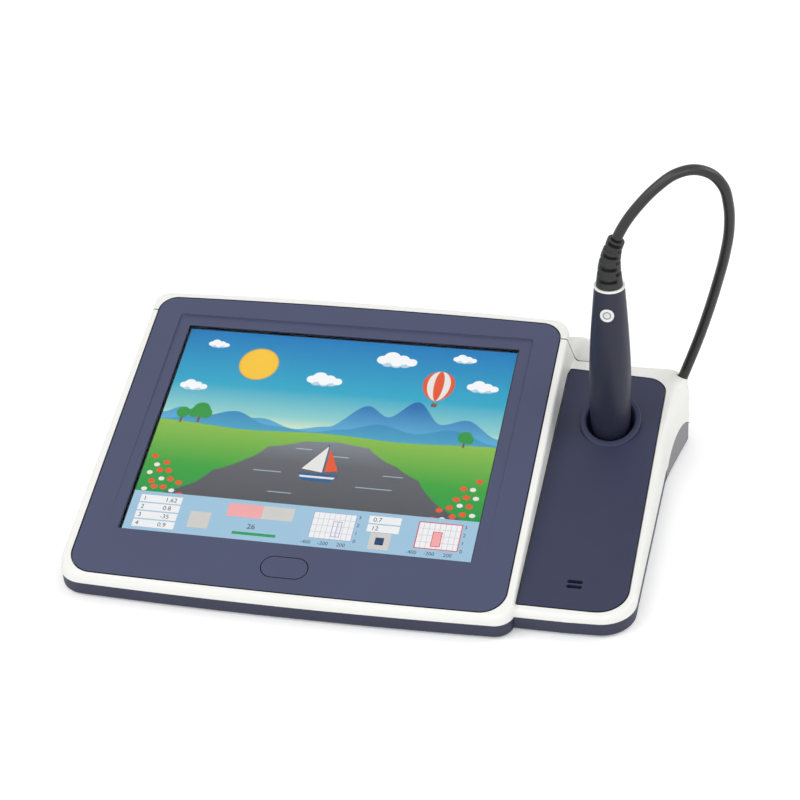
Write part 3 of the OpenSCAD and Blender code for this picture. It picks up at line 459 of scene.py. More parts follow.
WHITE = finish("white_shell", (233, 233, 229), 0.42, vary=0.012, bump=0.06)
# The next two finishes are one navy plastic in two tones: the screen's frame and button are painted lighter
# for the reflection they catch, the probe's panel and cradle darker as painted shade
NAVY_PAINTED_SHEEN = finish("navy_screen_frame_painted_sheen", (60, 66, 96), 0.48, vary=0.03, bump=0.12, grain=2200)
NAVY_PAINTED_SHADE = finish("navy_cover_painted_shade", (46, 50, 75), 0.5, vary=0.04, bump=0.12, grain=2200,
                    Specular_IOR_Level=0.35)
NAVY_BASE = finish("navy_base", (50, 53, 74), 0.5, vary=0.03, bump=0.1, Specular_IOR_Level=0.4)
# Pale grey copy of the navy base: painted light for the rise's right-facing side
RISE_PAINTED_LIGHT = finish("rise_painted_light", (128, 127, 131), 0.5, vary=0.03, bump=0.1)
NAVY_HANDLE = finish("navy_handle", (38, 40, 58), 0.36, vary=0.04, bump=0.06, Specular_IOR_Level=0.4)
BLACK = finish("black_moulding", (38, 38, 40), 0.5, vary=0.08)
RUBBER = finish("black_rubber", (34, 34, 35), 0.5, vary=0.1, spread=0.08, grain=1500, bump=0.12)
CABLE = finish("cable_jacket", (36, 35, 35), 0.34, vary=0.08, grain=1200, bump=0.08)
GREY = finish("grey_cap", (222, 223, 226), 0.38, vary=0.02)
SILICONE = finish("silicone", (222, 222, 216), 0.35, vary=0.03, Subsurface_Weight=0.2,
                  Subsurface_Radius=(0.004, 0.004, 0.004))
BOARD = finish("board", (36, 96, 60), 0.4, vary=0.15, grain=700)
STEEL = finish("sheet", (188, 190, 193), 0.34, grain=500, bump=0.03, stretch=(1, 12, 1), Metallic=1)
SCREW = finish("screw", (150, 150, 152), 0.3, vary=0.06, grain=900, Metallic=1)
# Near-black painted shade for the walls of seams and pockets, standing in for the shadow in the narrow gaps
SEAM_PAINTED_SHADE = finish("seam_painted_shade", (14, 14, 17), 0.7, vary=0.04, Specular_IOR_Level=0.2)
DARK = finish("screen_edge", (20, 21, 26), 0.4)
GLASS = finish("touch_cover", (255, 255, 255), 0.06, vary=0, spread=0.02, bump=0,
               Transmission_Weight=1, IOR=1.18)

SLOT_FINISH = dict(
    white_plastic=WHITE, navy_plastic=NAVY_PAINTED_SHEEN, black_plastic=BLACK, grey_plastic=GREY, black_rubber=RUBBER,
    tube_silicone=SILICONE, clear_glass=GLASS, display_face=DARK, board_green=BOARD, sheet_steel=STEEL,
    screw_steel=SCREW)
for name, slot in SLOTS.items():
    materials = frame["nodes"][name].data.materials
    materials.clear()
    materials.append(SLOT_FINISH[slot])


# Cable: the route of part.scad, stretched to its two ends, as a smooth tube
ROUTE = [(30.7, 36, 41), (33, 35.6, 48), (37.5, 35, 62), (43, 32, 82), (47.7, 28.4, 102),
         (51.3, 24.4, 120), (53.3, 20.3, 136), (53, 16.6, 151), (50.4, 13.4, 162.5),
         (44.8, 10.9, 169.6), (37.4, 8.4, 172.4), (29.8, 6.1, 171), (21.5, 3.5, 165.2),
         (13.9, 1.5, 157), (7.2, 0.3, 147.2), (3.5, 0, 139.2)]
RELIEF_Z = HANDLE_TOP + 0.04 + RING_H
RELIEF_UP, RELIEF_BEND, RELIEF_R, RELIEF_END = 6.9, radians(19), 44.6, 3.2
RELIEF_ARC = RELIEF_BEND * RELIEF_R
RELIEF_L = RELIEF_UP + RELIEF_ARC + RELIEF_END


def relief_at(s):
    """Point and direction on the strain relief's middle line."""
    a = clamp((s - RELIEF_UP) / RELIEF_R, 0, RELIEF_BEND)
    d = Vector((sin(a), 0, cos(a)))
    if s < RELIEF_UP:
        return Vector((0, 0, s)), d
    bend = Vector((RELIEF_R * (1 - cos(a)), 0, RELIEF_UP + RELIEF_R * sin(a)))
    return bend + max(0, s - RELIEF_UP - RELIEF_ARC) * d, d


relief_tip, RELIEF_DIR = relief_at(RELIEF_L)
CABLE_START = COLLAR - AXIS - 1.18 * COLLAR_DIR
CABLE_END = Vector((0, 0, RELIEF_Z)) + relief_tip + 0.02 * RELIEF_DIR


def on_route(p):
    """A point of the route, once its ends are led to the collar and the strain relief."""
    return AXIS + Vector([CABLE_START[a] + (p[a] - ROUTE[0][a]) * (CABLE_END[a] - CABLE_START[a])
                          / (ROUTE[-1][a] - ROUTE[0][a]) for a in range(3)])


def spline(points, steps, start_dir, end_dir):
    """Smooth curve through points, with given end directions."""
    ways = [start_dir]
    for a, b, c in zip(points, points[1:], points[2:]):
        before, after = b - a, c - b
        ways.append(before.normalized() * after.length + after.normalized() * before.length)
    ways = [way.normalized() for way in ways + [end_dir]]
    curve = []
    for i in range(len(points) - 1):
        far = (points[i + 1] - points[i]).length
        curve += [hermite(points[i], points[i + 1], ways[i] * far, ways[i + 1] * far, k / steps)
                  for k in range(steps)]
    return curve + [points[-1]]


cable_path = spline([on_route(p) for p in ROUTE], 8, COLLAR_DIR, -RELIEF_DIR)
cable = tube("cable_jacket", cable_path, CABLE_D / 2)
cable.data.materials.append(CABLE)
cable.data.shade_smooth()
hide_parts("probe_cable")
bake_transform(cable)


# White shells: screen block, probe block and shoulder in one, then parted at the seam
LAND_Z, WALL_Z = SEAM_LOW[1], SEAM_TOP[1] - 2.3
SKIRT = 15  # how far the step's wall runs down below the land
WALL_OUT, HOLLOW_R = 3.1, 3.2
CLEAR = 250  # beyond the housing on all sides


def block_rings(foot, wide, inner, height, share):
    """Rings of a block: a wall from foot to wide and a rounded edge under a sloping top."""
    rings = [[(p[0], p[1], STRIP_Z + SEAM) for p in foot]]
    for t, drop in quarter(9):
        ring = []
        for a, b in zip(wide, inner):
            x, y, far = a[0] + (b[0] - a[0]) * t, a[1] + (b[1] - a[1]) * t, dist(a, b)
            ring.append((x, y, height(y) - 1.9 * far * (1 + share * max(0, far - 3)) * drop))
        rings.append(ring)
    return rings


def seam_line(gap):
    """One side of the rear cover's seam in (y, z), from its top down."""
    return [(SEAM_TOP[0] + gap - 8, SEAM_TOP[1] + 19), (SEAM_TOP[0] + gap, SEAM_TOP[1]),
            (SEAM_LOW[0] + gap, SEAM_LOW[1]), (SEAM_LOW[0] + gap, -5)]


def zone(gap):
    """Space behind the seam of the rear cover."""
    section = seam_line(gap)
    section += [(CLEAR, section[-1][1]), (CLEAR, section[0][1])]
    return loft("zone", [[(x, y, z) for y, z in section] for x in (-CLEAR, CLEAR)])


def step_ring(z, inset=0):
    """Front part of a level of the step's wall: it slopes out towards the seam and the land."""
    share = clamp((z - LAND_Z) / (WALL_Z - LAND_Z))
    y = SEAM_LOW[0] + (SEAM_TOP[0] - SEAM_LOW[0]) * share
    low = HOLLOW_R - clamp(z - LAND_Z, 0, HOLLOW_R)
    out = WALL_OUT * (1 - share) + HOLLOW_R - sqrt(HOLLOW_R ** 2 - low ** 2)
    out = out * ease(clamp((z - LAND_Z + SKIRT) / 13)) - inset
    wall = X_STEP - 0.25 - inset
    ring = [(X_STEP - 6, y - 15.5), (wall, y - 15.5)]
    for k in range(1, 17):
        ring.append((wall + (out + 0.25 + inset) * (k / 16) ** 2.6, y - 15.5 + k))
    return ring, X_STEP + out, y + 0.5


def step_slope():
    """Sloping rear part of the step's wall, round the screen block's corner."""
    rings, deep = [], WALL_Z - LAND_Z
    cx, cy = X_STEP - CORNER_BACK, Y_REAR - REAR_BOW - CORNER_BACK
    for k in range(25):
        z = LAND_Z - SKIRT + (deep + SKIRT) * k / 24
        ring, x, y = step_ring(z)
        round_y = max(cy, y + 0.2)
        ring += [(x, y + (round_y - y) * i / 4) for i in range(1, 5)]
        for i in range(1, 13):
            a = radians(70) * i / 12
            far = CORNER_BACK - 0.05 + (x - X_STEP) * cos(a * 90 / 70) ** 2
            squash = (cy + CORNER_BACK - round_y) / CORNER_BACK
            ring.append((cx + far * cos(a), round_y + far * sin(a) * squash))
        ring.append((X_STEP - 9, cy + 4))
        lean = tan(TILT) * clamp((z - LAND_Z) / deep)
        rings.append([(p[0], p[1], z + min(0, p[1] - y) * lean) for p in ring])
    return loft("step_slope", rings)


def shoulder():
    """Shoulder of the rear cover, with a hollow corner against the step's wall."""
    z0, high, rings = panel_height(PANEL_REAR_Y), 10.2, []
    levels = [z0 - 14 + 1.5 * k for k in range(10)]
    levels += [z0 + 0.5 + high * sin(pi / 2 * k / 14) for k in range(1, 15)]
    for z in levels:
        rise = max(0, (z - z0 - 0.5) / high)
        ring, x, y = step_ring(z, 0.3)
        foot_y = SEAM_LOW[0] - 0.4 + 0.54 * max(0, z - z0) + 0.7 * (1 - sqrt(max(0, 1 - rise ** 6)))
        end = X_STEP + 4.6 + 13 * sqrt(max(0, 1 - rise ** 2))
        q = max(0.3, min(6, end - x - 1.2, foot_y - y + 4))
        hollow_y = max(y, foot_y - q)
        rear_y = PANEL_REAR_Y + 8.2 + (Y_REAR - 9.3 - PANEL_REAR_Y) * ease(clamp((z - z0 + 14) / 15))
        r = max(0.1, min(2.4, (end - x - q) * 0.9, 0.45 * (rear_y - foot_y)))
        ring += arc(x + q, hollow_y, q, foot_y - hollow_y, pi, pi / 2, 12)
        ring += arc(end - r, foot_y + r, r, r, -pi / 2, 0, 8)
        ring += arc(end - r, rear_y - r, r, r, 0, pi / 2, 8)
        ring.append((X_STEP - 10, rear_y - 1.9))
        rings.append([(p[0], p[1], z) for p in ring])
    return loft("shoulder", rings)


def arch(grow):
    """Round cutter over the rise of the base at the rear right corner."""
    half_chord = 18.6
    r = (half_chord * half_chord + ARCH_RISE * ARCH_RISE) / (2 * ARCH_RISE)
    section = disc(PANEL_REAR_Y - 11, STRIP_Z + ARCH_RISE - r, r + grow, 160)
    return loft("arch", [[(x, y, z) for y, z in section] for x in (X_SIDE - 9, X_SIDE + 31)])


def pocket(ring_of, deep, high, widen, frame_of):
    """Cutters for a panel's pocket, with a soft rim, and for the window under the panel."""
    soft, ledge = 0.22, 5
    rim = ring_of(JOINT + soft)
    return (stepped("pocket", [(ring_of(JOINT), -deep), (ring_of(JOINT), -soft), (rim, 0),
                               (ring_of(JOINT + soft + widen), high)], frame_of),
            stepped("window", [(ring_of(-ledge), -deep - 3), (ring_of(-ledge), high)], frame_of))


white = loft("white_shell", block_rings(block_outline(0), block_outline(0, LEFT_IN),
    block_outline(0, ROUND_LEFT + 0.3, ROUND_FRONT, ROUND_STEP, 2), screen_height, 0.3))
combine(white, loft("probe_block", block_rings(
    probe_outline(0), probe_outline(0), probe_outline(0, 1.6, 1.5, 2.4, 0.5), panel_height, 0)), "UNION")
combine(white, step_slope(), "UNION")
combine(white, shoulder(), "UNION")
cut(white, prism("hollow", block_outline(WALL, 1), -1,
                 lambda y: screen_height(y) - (BEZEL_T + 2) / cos(TILT)),
    prism("hollow", probe_outline(WALL), -1, lambda y: panel_height(y) - (PANEL_T + 2) / cos(PANEL_TILT)),
    *pocket(bezel_outline, BEZEL_T, 20, 0.6, ON_SCREEN),
    *pocket(panel_outline, PANEL_T, 0.05, 0, ON_PANEL), arch(SEAM))
SHELL = BVHTree.FromPolygons([v.co / MM for v in white.data.vertices],
                             [tuple(f.vertices) for f in white.data.polygons])
cut(white, tube("collar_hole", [COLLAR - COLLAR_DIR * 14, COLLAR + COLLAR_DIR * 14], COLLAR_D / 2 + 0.1, 48))
rear = combine(new_object("rear_shell", white.data.copy()), zone(SEAM_BACK), "INTERSECT")
cut(white, zone(SEAM_FRONT))
PORT_Z, PORT_Y = STRIP_Z + SEAM + 1.5, Y_REAR - 3.6
for x, w, h in ((62, 12, 11), (36, 14, 12.5)):
    sides = ((-1, 1), (1, 1), (1, 0), (-1, 0))
    cut(rear, loft("port", [[(SCREEN_X + x + sx * (w / 2 + 0.1), y, PORT_Z + sz * h + (sz - 0.5) * 0.2)
                             for sx, sz in sides] for y in (PORT_Y - 6, PORT_Y + 14)]))
finish_piece(white, WHITE, "top_housing")
finish_piece(rear, WHITE, "rear_cover")


def near(ring, c):
    """Distance in plan from a point to a closed outline."""
    best = 9
    for (xa, ya), (xb, yb) in zip(ring, ring[1:] + ring[:1]):
        dx, dy = xb - xa, yb - ya
        t = clamp(((c.x - xa) * dx + (c.y - ya) * dy) / max(1e-9, dx * dx + dy * dy))
        best = min(best, hypot(c.x - xa - dx * t, c.y - ya - dy * t))
    return best


def on_wall(ring, into, low=-9, high=9):
    """Test for faces of the wall over an outline, in the plane that into leads to."""
    def test(c, n):
        p = into @ c
        return low < p.z < high and abs((into.to_3x3() @ n).z) < 0.1 and near(ring, p) < 0.05
    return test


# Masks for the pocket walls that get painted shade
in_bezel_pocket = on_wall(bezel_outline(JOINT), FROM_SCREEN, -BEZEL_T, -0.2)
in_panel_pocket = on_wall(panel_outline(JOINT), FROM_PANEL, -PANEL_T, -0.2)


def in_seam(c, n):
    """Whether a face lies in the seam of the rear cover or in the wall of a panel's pocket: the faces that
    get painted shade.
    """
    for gap in (SEAM_FRONT, SEAM_BACK):
        line = seam_line(gap)
        for (ya, za), (yb, zb) in zip(line, line[1:]):
            far = abs((c.y - ya) * (zb - za) - (c.z - za) * (yb - ya)) / dist((ya, za), (yb, zb))
            if far < 0.02 and abs(n.x) < 0.05 and min(za, zb) - 0.1 < c.z < max(za, zb) + 0.1:
                return True
    return in_bezel_pocket(c, n) or in_panel_pocket(c, n)


# Painted shade: the seam's and the pockets' walls are made near black for the shadow in the gaps
shade_faces(white, SEAM_PAINTED_SHADE, in_seam)
shade_faces(rear, SEAM_PAINTED_SHADE, in_seam)


# Navy base with its rise at the rear right corner
def foot(ring_of):
    """The base's solid body over an outline, with a rounded lower edge."""
    levels = [(ring_of(1.45), BASE_Z)]
    levels += [(ring_of(0.25 + 1.2 * t), BASE_Z + 1.2 * drop) for t, drop in reversed(quarter(5))][1:]
    return loft("foot", [raised(*level) for level in levels + [(ring_of(0.25), STRIP_Z)]])


FLOOR_Z = 3.2
base = foot(block_outline)
combine(base, foot(probe_outline), "UNION")
rise = prism("rise", probe_outline(0.25), STRIP_Z - 1, STRIP_Z + 12)
combine(base, combine(rise, arch(0), "INTERSECT"), "UNION")
cut(base, prism("inside", block_outline(WALL), FLOOR_Z, 40),
    prism("inside", probe_outline(WALL), FLOOR_Z, 40))
SCREW_IN = WALL + 2.6
SCREWS = [(x, y) for x in (X_LEFT + SCREW_IN, X_STEP - SCREW_IN) for y in (-0.62 * Y_REAR, 0.3 * Y_REAR)]
SCREWS += [(X_SIDE - SCREW_IN, y) for y in (-0.55 * Y_REAR, 0.02 * Y_REAR)]
SCREWS += [(x, Y_REAR - REAR_BOW * (2 * (x - X_LEFT) / BLOCK_W - 1) ** 2 - SCREW_IN)
           for x in (X_LEFT + WALL + 14, X_STEP - 26)]
FEET = [(X_LEFT + 24, Y_FRONT + 22), (X_SIDE - 22, Y_FRONT + 30), (X_LEFT + 24, Y_REAR - 26),
        (X_SIDE - 22, PANEL_REAR_Y - 12)]
for x, y in SCREWS:
    sunk = [raised(disc(x, y, r, 32), z) for r, z in ((3.6, -1), (3.2, 1.2), (3.2, 2.1))]
    cut(base, loft("screw_hole", sunk), prism("bore", disc(x, y, 1.7, 24), 0, 10))
for x, y in FEET:
    cut(base, prism("foot_seat", disc(x, y, 6.1, 48), 0, 1.59))
for k in range(8):
    cut(base, prism("vent", pill(SCREEN_X - 1 + 10 * k, 0.33 * Y_REAR - 12, 2.4, 34, 6), 0, 10))
finish_piece(base, NAVY_BASE, "base_shell")
# Painted light: the rise's faces that turn to the right get the pale grey copy instead of the base's navy
shade_faces(base, RISE_PAINTED_LIGHT, lambda c, n: (n.x > 0.3 and abs(n.z) < 0.3 and c.x > X_SIDE
                                      and c.y > PANEL_REAR_Y - 40))


# Navy panel of the screen: rounded edge, stepped border, opening and button hole
def plate(name, ring_of, thick, soft, frame_of):
    """Flat panel with a softly rounded upper edge."""
    levels = [(ring_of(0), -thick + 0.1)]
    levels += [(ring_of(-0.7 * soft * t), -soft * drop) for t, drop in quarter(4)]
    return stepped(name, levels, frame_of)


def well(name, ring_of, deep, soft, frame_of):
    """Cutter for a hole with a softened rim."""
    return stepped(name, [(ring_of(0), -deep), (ring_of(0), -soft), (ring_of(soft * 0.35), -soft * 0.35),
                          (ring_of(soft), 0), (ring_of(soft), 3)], frame_of)


def lowered(frame_of, drop):
    return frame_of @ Matrix.Translation((0, 0, -drop))


def recess_outline(grow):
    w = RECESS_W / 2 + grow
    return outline([(-w, -grow, 5, 10), (w, -grow, 5, 10), (w, RECESS_L + grow, 1.6, 8),
                    (-w, RECESS_L + grow, 1.6, 8)])


RECESS_W, RECESS_TOP, RECESS_FOOT = OPEN_W + 11.6, OPEN_H / 2 + 6.1, -OPEN_H / 2 - 2.2
RECESS_L = RECESS_TOP - RECESS_FOOT
GLASS_DEEP = RECESS + 0.7
ON_RECESS = (ON_SCREEN @ Matrix.Translation((0, RECESS_FOOT, 0))
             @ Matrix.Rotation(-atan(RECESS / RECESS_L), 4, "X"))
ON_OPENING = ON_RECESS @ Matrix.Translation((0, -RECESS_FOOT, 0))
recess = [(recess_outline(0), 0), (recess_outline(0.3), 0.5), (recess_outline(0.9), 3)]
rebate = rectangle(OPEN_W + 14, OPEN_H + 10, 2)
bezel = plate("screen_frame", lambda g: bezel_outline(g - DRAWN_IN), BEZEL_T, 0.4, ON_SCREEN)
cut(bezel, stepped("recess", recess, ON_RECESS),
    well("opening", lambda g: rectangle(OPEN_W + 2 * g, OPEN_H + 2 * g, 0.8 + g), 6, 0.25, ON_OPENING),
    stepped("rebate", [(rebate, -5), (rebate, -GLASS_DEEP)], ON_SCREEN),
    well("button_hole", lambda g: pill(0, PILL_Y, PILL_W + 0.7 + 2 * g, PILL_H + 0.7 + 2 * g), 9, 0.25,
         ON_SCREEN))
finish_piece(bezel, NAVY_PAINTED_SHEEN, "screen_bezel")
# Painted shade on the frame's own side walls, which show in the gap round it
shade_faces(bezel, SEAM_PAINTED_SHADE, on_wall(bezel_outline(-DRAWN_IN), FROM_SCREEN))
button = plate("screen_button", lambda g: pill(0, PILL_Y, PILL_W + 2 * g, PILL_H + 2 * g),
               BEZEL_T + 0.3, 0.3, ON_SCREEN)
finish_piece(button, NAVY_PAINTED_SHEEN, "home_button", "home_button")

# Navy panel of the probe block, with its two slots
SLOT_X, SLOT_Y, SLOT_W, SLOT_H = -1.6, -CRADLE_UP + 14.6, 7.2, 1.8
cover = plate("probe_cover", lambda g: panel_outline(g - DRAWN_IN), PANEL_T, 0.35, ON_PANEL)
cut(cover, prism("cradle_hole", disc(CRADLE.x, CRADLE.y, TUBE_D / 2 + 0.2, 96), 10, 70))
for dy in (-1.45, 1.45):
    cut(cover, well("slot", lambda g: pill(SLOT_X, SLOT_Y + dy, SLOT_W + 2 * g, SLOT_H + 2 * g, 12),
                    5, 0.2, ON_PANEL))
finish_piece(cover, NAVY_PAINTED_SHADE, "probe_panel")
# Painted shade on the panel's own side walls, which show in the gap round it
shade_faces(cover, SEAM_PAINTED_SHADE, on_wall(panel_outline(-DRAWN_IN), FROM_PANEL))


# Cradle: tube and sloping lip, whose rings are upright over the plan
def lip_height(y):
    return CRADLE.z + LIP_UP + (y - CRADLE.y) * tan(LIP_TILT)


def cradle_ring(r, height):
    return raised(disc(CRADLE.x, CRADLE.y, r, 128), height)


def lip_ring(t, drop):
    """Ring of the lip's rounded outer edge, which doesn't dip into the panel."""
    return cradle_ring(LIP_D / 2 - 0.8 * t, lambda y: max(lip_height(y) - 0.8 * drop,
                                                          panel_height(y) - 1 + 0.1 * (1 - drop)))


BORE, BORE_SOFT = CRADLE_D / 2, 1.3
rings = [cradle_ring(TUBE_D / 2, 3.3), cradle_ring(TUBE_D / 2, lambda y: panel_height(y) - 1.2),
         cradle_ring(LIP_D / 2, lambda y: panel_height(y) - 1.1)]
rings += [lip_ring(t, drop) for t, drop in quarter(6)]
rings += [cradle_ring(BORE + BORE_SOFT * share, lambda y: lip_height(y) - BORE_SOFT * drop)
          for drop, share in quarter(7)]
rings += [cradle_ring(r, z) for r, z in ((BORE, 28.5), (7.1, 24.1), (6, 24.05), (6, 5.2))]
finish_piece(loft("cradle", rings), NAVY_PAINTED_SHADE, "cradle_cup")

# Probe: handle, ring, button, strain relief
HANDLE_H = HANDLE_TOP - HANDLE_LOW
HANDLE = [(0, 0.66), (0.04, 0.8), (0.09, 0.9), (0.165, 0.965), (0.29, 0.995), (0.445, 1),
          (0.58, 0.965), (0.73, 0.895), (0.855, 0.82), (1, 0.725)]
ON_PROBE = Matrix.Translation(AXIS)
ON_RING = Matrix.Translation(AXIS + Vector((0, 0, HANDLE_TOP)))


def handle_slope(k):
    a, b = HANDLE[max(k - 1, 0)], HANDLE[min(k + 1, len(HANDLE) - 1)]
    return (b[1] - a[1]) / (b[0] - a[0])


def handle_r(s):
    """Radius at a share of the handle's height, on a smooth curve through HANDLE's points."""
    i = max(k for k in range(len(HANDLE) - 1) if HANDLE[k][0] <= s or k == 0)
    (xa, ya), (xb, yb) = HANDLE[i], HANDLE[i + 1]
    far = xb - xa
    return HANDLE_D / 2 * hermite(ya, yb, handle_slope(i) * far, handle_slope(i + 1) * far, (s - xa) / far)


top_r = handle_r(1)
profile = [(2, HANDLE_LOW), (handle_r(0) - 0.6, HANDLE_LOW)]
profile += [(handle_r(k / 60), HANDLE_LOW + 0.3 + (HANDLE_H - 0.6) * k / 60) for k in range(61)]
profile += [(top_r - 0.1, HANDLE_TOP - 0.1), (top_r - 0.3, HANDLE_TOP), (2, HANDLE_TOP)]
handle = lathe("handle", profile, ON_PROBE)
PUSH_Z = HANDLE_TOP - 11.3
push_s = (PUSH_Z - HANDLE_LOW) / HANDLE_H
push_lean = atan((handle_r(push_s - 0.05) - handle_r(push_s + 0.05)) / (0.1 * HANDLE_H))
ON_PUSH = (ON_PROBE @ Matrix.Translation((0, -handle_r(push_s), PUSH_Z))
           @ Matrix.Rotation(pi / 2 - push_lean, 4, "X"))
cut(handle, lathe("push_seat", [(PUSH_D / 2 + 1.05, -0.9), (PUSH_D / 2 + 1.05, 5)], ON_PUSH, 64),
    lathe("push_hole", [(PUSH_D / 2 + 0.35, -4), (PUSH_D / 2 + 0.35, 5)], ON_PUSH, 64))
finish_piece(handle, NAVY_HANDLE, "probe_handle", "probe")

ring_r = top_r + 0.12
ring = lathe("handle_ring", [(2.6, 0.02), (ring_r - 0.2, 0.02), (ring_r, 0.15), (ring_r + 0.02, 0.45),
                             (ring_r - 0.08, 0.72), (ring_r - 0.3, 0.88), (ring_r - 0.7, 0.92),
                             (2.6, 0.92)], ON_RING)
finish_piece(ring, WHITE, "probe_ring", "probe", 50)

RIM_IN, RIM_OUT = PUSH_D / 2 - 0.3, PUSH_D / 2 + 0.98
rim = [(RIM_IN + 0.5, -0.85), (RIM_OUT, -0.85), (RIM_OUT, 0)]
for k in range(11):
    a = pi * k / 10
    rim.append(((RIM_IN + RIM_OUT) / 2 + (RIM_OUT - RIM_IN) / 2 * cos(a), 0.42 * sin(a) ** 0.8))
rim += [(RIM_IN, -0.25), (RIM_IN + 0.5, -0.3)]
push_ring = lathe("push_ring", rim + rim[:1], ON_PUSH, 64, False)
finish_piece(push_ring, WHITE, "probe_button_ring", "probe", 50)
foot_r, cap_r = PUSH_D / 2, PUSH_D / 2 - 0.85
push = lathe("push_cap", [(foot_r - 1, -2.4), (foot_r - 1, -1.9), (foot_r, -1.9), (foot_r, -0.95),
                          (cap_r, -0.92), (cap_r, 0.02), (cap_r - 0.1, 0.2), (cap_r - 0.3, 0.28),
                          (cap_r - 0.6, 0.14), (0.5, 0.1), (0.02, 0.14)], ON_PUSH, 64)
finish_piece(push, GREY, "probe_button", "probe_button", 50)

RELIEF_COLLAR = 5.6  # length of the strain relief's plain end collar
SLOT_START, SLOT_PITCH, SLOT_HALF, SLOT_SLOPE, SLOT_DEEP = 4.2, 3.18, 0.95, 0.3, 1.7


def relief_radius(s):
    """Radius of the tapered boot and its end collar."""
    if s > RELIEF_L - RELIEF_COLLAR:
        return 4.1 - 0.35 * max(0, (s - RELIEF_L + 0.4) / 0.4)
    return 6.35 - 2 * s / (RELIEF_L - RELIEF_COLLAR)


def slot_depth(s, front):
    """Depth of the slots; front is 1 at the front and back of the boot and -1 at its sides."""
    deep = 0
    for k in range(7):
        far = abs(s - SLOT_START - SLOT_PITCH * k)
        if far < SLOT_HALF:
            share = clamp((front + 0.2) * 4 if k % 2 == 0 else (0.12 - front) * 4)
            deep = max(deep, SLOT_DEEP * share * min(1, (SLOT_HALF - far) / SLOT_SLOPE))
    return deep


rings, steps, side = [], 260, Vector((0, -1, 0))
for i in range(steps + 1):
    s = RELIEF_L * i / steps
    point, d = relief_at(s)
    across = d.cross(side)
    rings.append([AXIS + Vector((0, 0, RELIEF_Z)) + point
                  + (side * c + across * sn) * (relief_radius(s) - slot_depth(s, c * c - sn * sn))
                  for c, sn in around(120)])
finish_piece(loft("relief_boot", rings), RUBBER, "probe_strain_relief", "probe", 40)

# Spout of the rear cover that flows up round the cable's collar
SPOUT = COLLAR + Vector((-0.5, 0, 0))
SPOUT_DIR = Vector((0.33, 0.3, 0.84)).normalized()
SPOUT_LIP, SPOUT_BORE = 3.3, CABLE_D / 2 + 0.12
REACH_UP, REACH_DOWN = 6, 16
across = Vector((0, 1, 0)).cross(SPOUT_DIR).normalized()
along = SPOUT_DIR.cross(across)


def spout_ring(radius, drop, blend=None):
    """Ring round the spout's axis; blend leads it down to the shell's surface."""
    ring = []
    for c, s in around(120):
        p = SPOUT + (across * c + along * s) * (radius(s) if callable(radius) else radius)
        down = drop
        if blend is not None:
            hit = SHELL.ray_cast(p + SPOUT_DIR * REACH_UP, -SPOUT_DIR)[3]
            deep = min(REACH_DOWN, hit - REACH_UP if hit else REACH_DOWN)
            down = deep * (1 - (1 - blend) ** 2.2) + drop
        ring.append(p - SPOUT_DIR * down)
    return ring


def flare(t, more=0):
    """Radius at a share of the flare, which runs out most to the front."""
    return lambda s: SPOUT_LIP + (6.2 - 0.9 * s - SPOUT_LIP) * t + more


rings = [spout_ring(SPOUT_BORE, 9), spout_ring(SPOUT_BORE, 0.2), spout_ring(SPOUT_BORE + 0.23, 0.02),
         spout_ring(SPOUT_LIP - 0.2, 0), spout_ring(SPOUT_LIP - 0.04, 0.06)]
rings += [spout_ring(flare(k / 26), 0.16 * (1 - k / 26) - 0.015, k / 26) for k in range(27)]
rings.append(spout_ring(flare(1, 0.1), 0.3, 1))
finish_piece(loft("cable_spout", rings[::-1], caps=False), WHITE, "cable_collar")


# Screen picture: a made-up landscape and value band, as thin lit layers on the display cell
def lit(name, color, rise=None, *stops):
    """Lit colour, or with a rise a shade through stops between two heights on the display."""
    mat, tree, shader = new_material(name, Base_Color=(0.01, 0.01, 0.012, 1), Roughness=0.35,
                                     Specular_IOR_Level=0.08, Emission_Strength=1)
    coords = add_node(tree, "ShaderNodeTexCoord")
    ramp = add_node(tree, "ShaderNodeValToRGB")
    if rise:
        low, high = ((ON_SCREEN @ Vector((0, v, 0))).y * MM for v in rise)
        split = add_node(tree, "ShaderNodeSeparateXYZ")
        span = add_node(tree, "ShaderNodeMapRange", From_Min=low, From_Max=high)
        link(coords, "Object", split, "Vector")
        link(split, "Y", span, "Value")
        link(span, "Result", ramp, "Fac")
        set_ramp(ramp, [(0, srgb(color))] + [(place, srgb(shade)) for place, shade in stops])
    else:
        cloud = add_node(tree, "ShaderNodeTexNoise", Scale=90)
        link(coords, "Object", cloud, "Vector")
        link(cloud, "Fac", ramp, "Fac")
        set_ramp(ramp, [(0.3, [c * 0.98 for c in srgb(color)]), (0.7, srgb(color))])
    link(ramp, "Color", shader, "Emission Color")
    return mat


LAYER, TOP_LAYER = 0.03, 8
FACE_TOP = max((FROM_SCREEN @ (v.co * 1000)).z for v in frame["nodes"]["screen_panel"].data.vertices) - 0.02
CELL_DEEP = TOP_LAYER * LAYER - FACE_TOP
cell = plate("display_cell", lambda g: rectangle(SCREEN_W + 3 + 2 * g, SCREEN_H + 3 + 2 * g, 0.5),
             0.8, 0.1, lowered(ON_SCREEN, CELL_DEEP))
finish_piece(cell, DARK, "screen_panel")
glass = plate("touch_cover", lambda g: rectangle(OPEN_W + 13.6 + 2 * g, OPEN_H + 9.6 + 2 * g, 1.8),
              1.1, 0.15, lowered(ON_SCREEN, GLASS_DEEP))
finish_piece(glass, GLASS, "touch_glass")
W2, H2 = SCREEN_W / 2, SCREEN_H / 2


def picture_piece(name, verts, faces, mat):
    obj = mesh_object(name, verts, faces, mat)
    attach(obj, "housing")


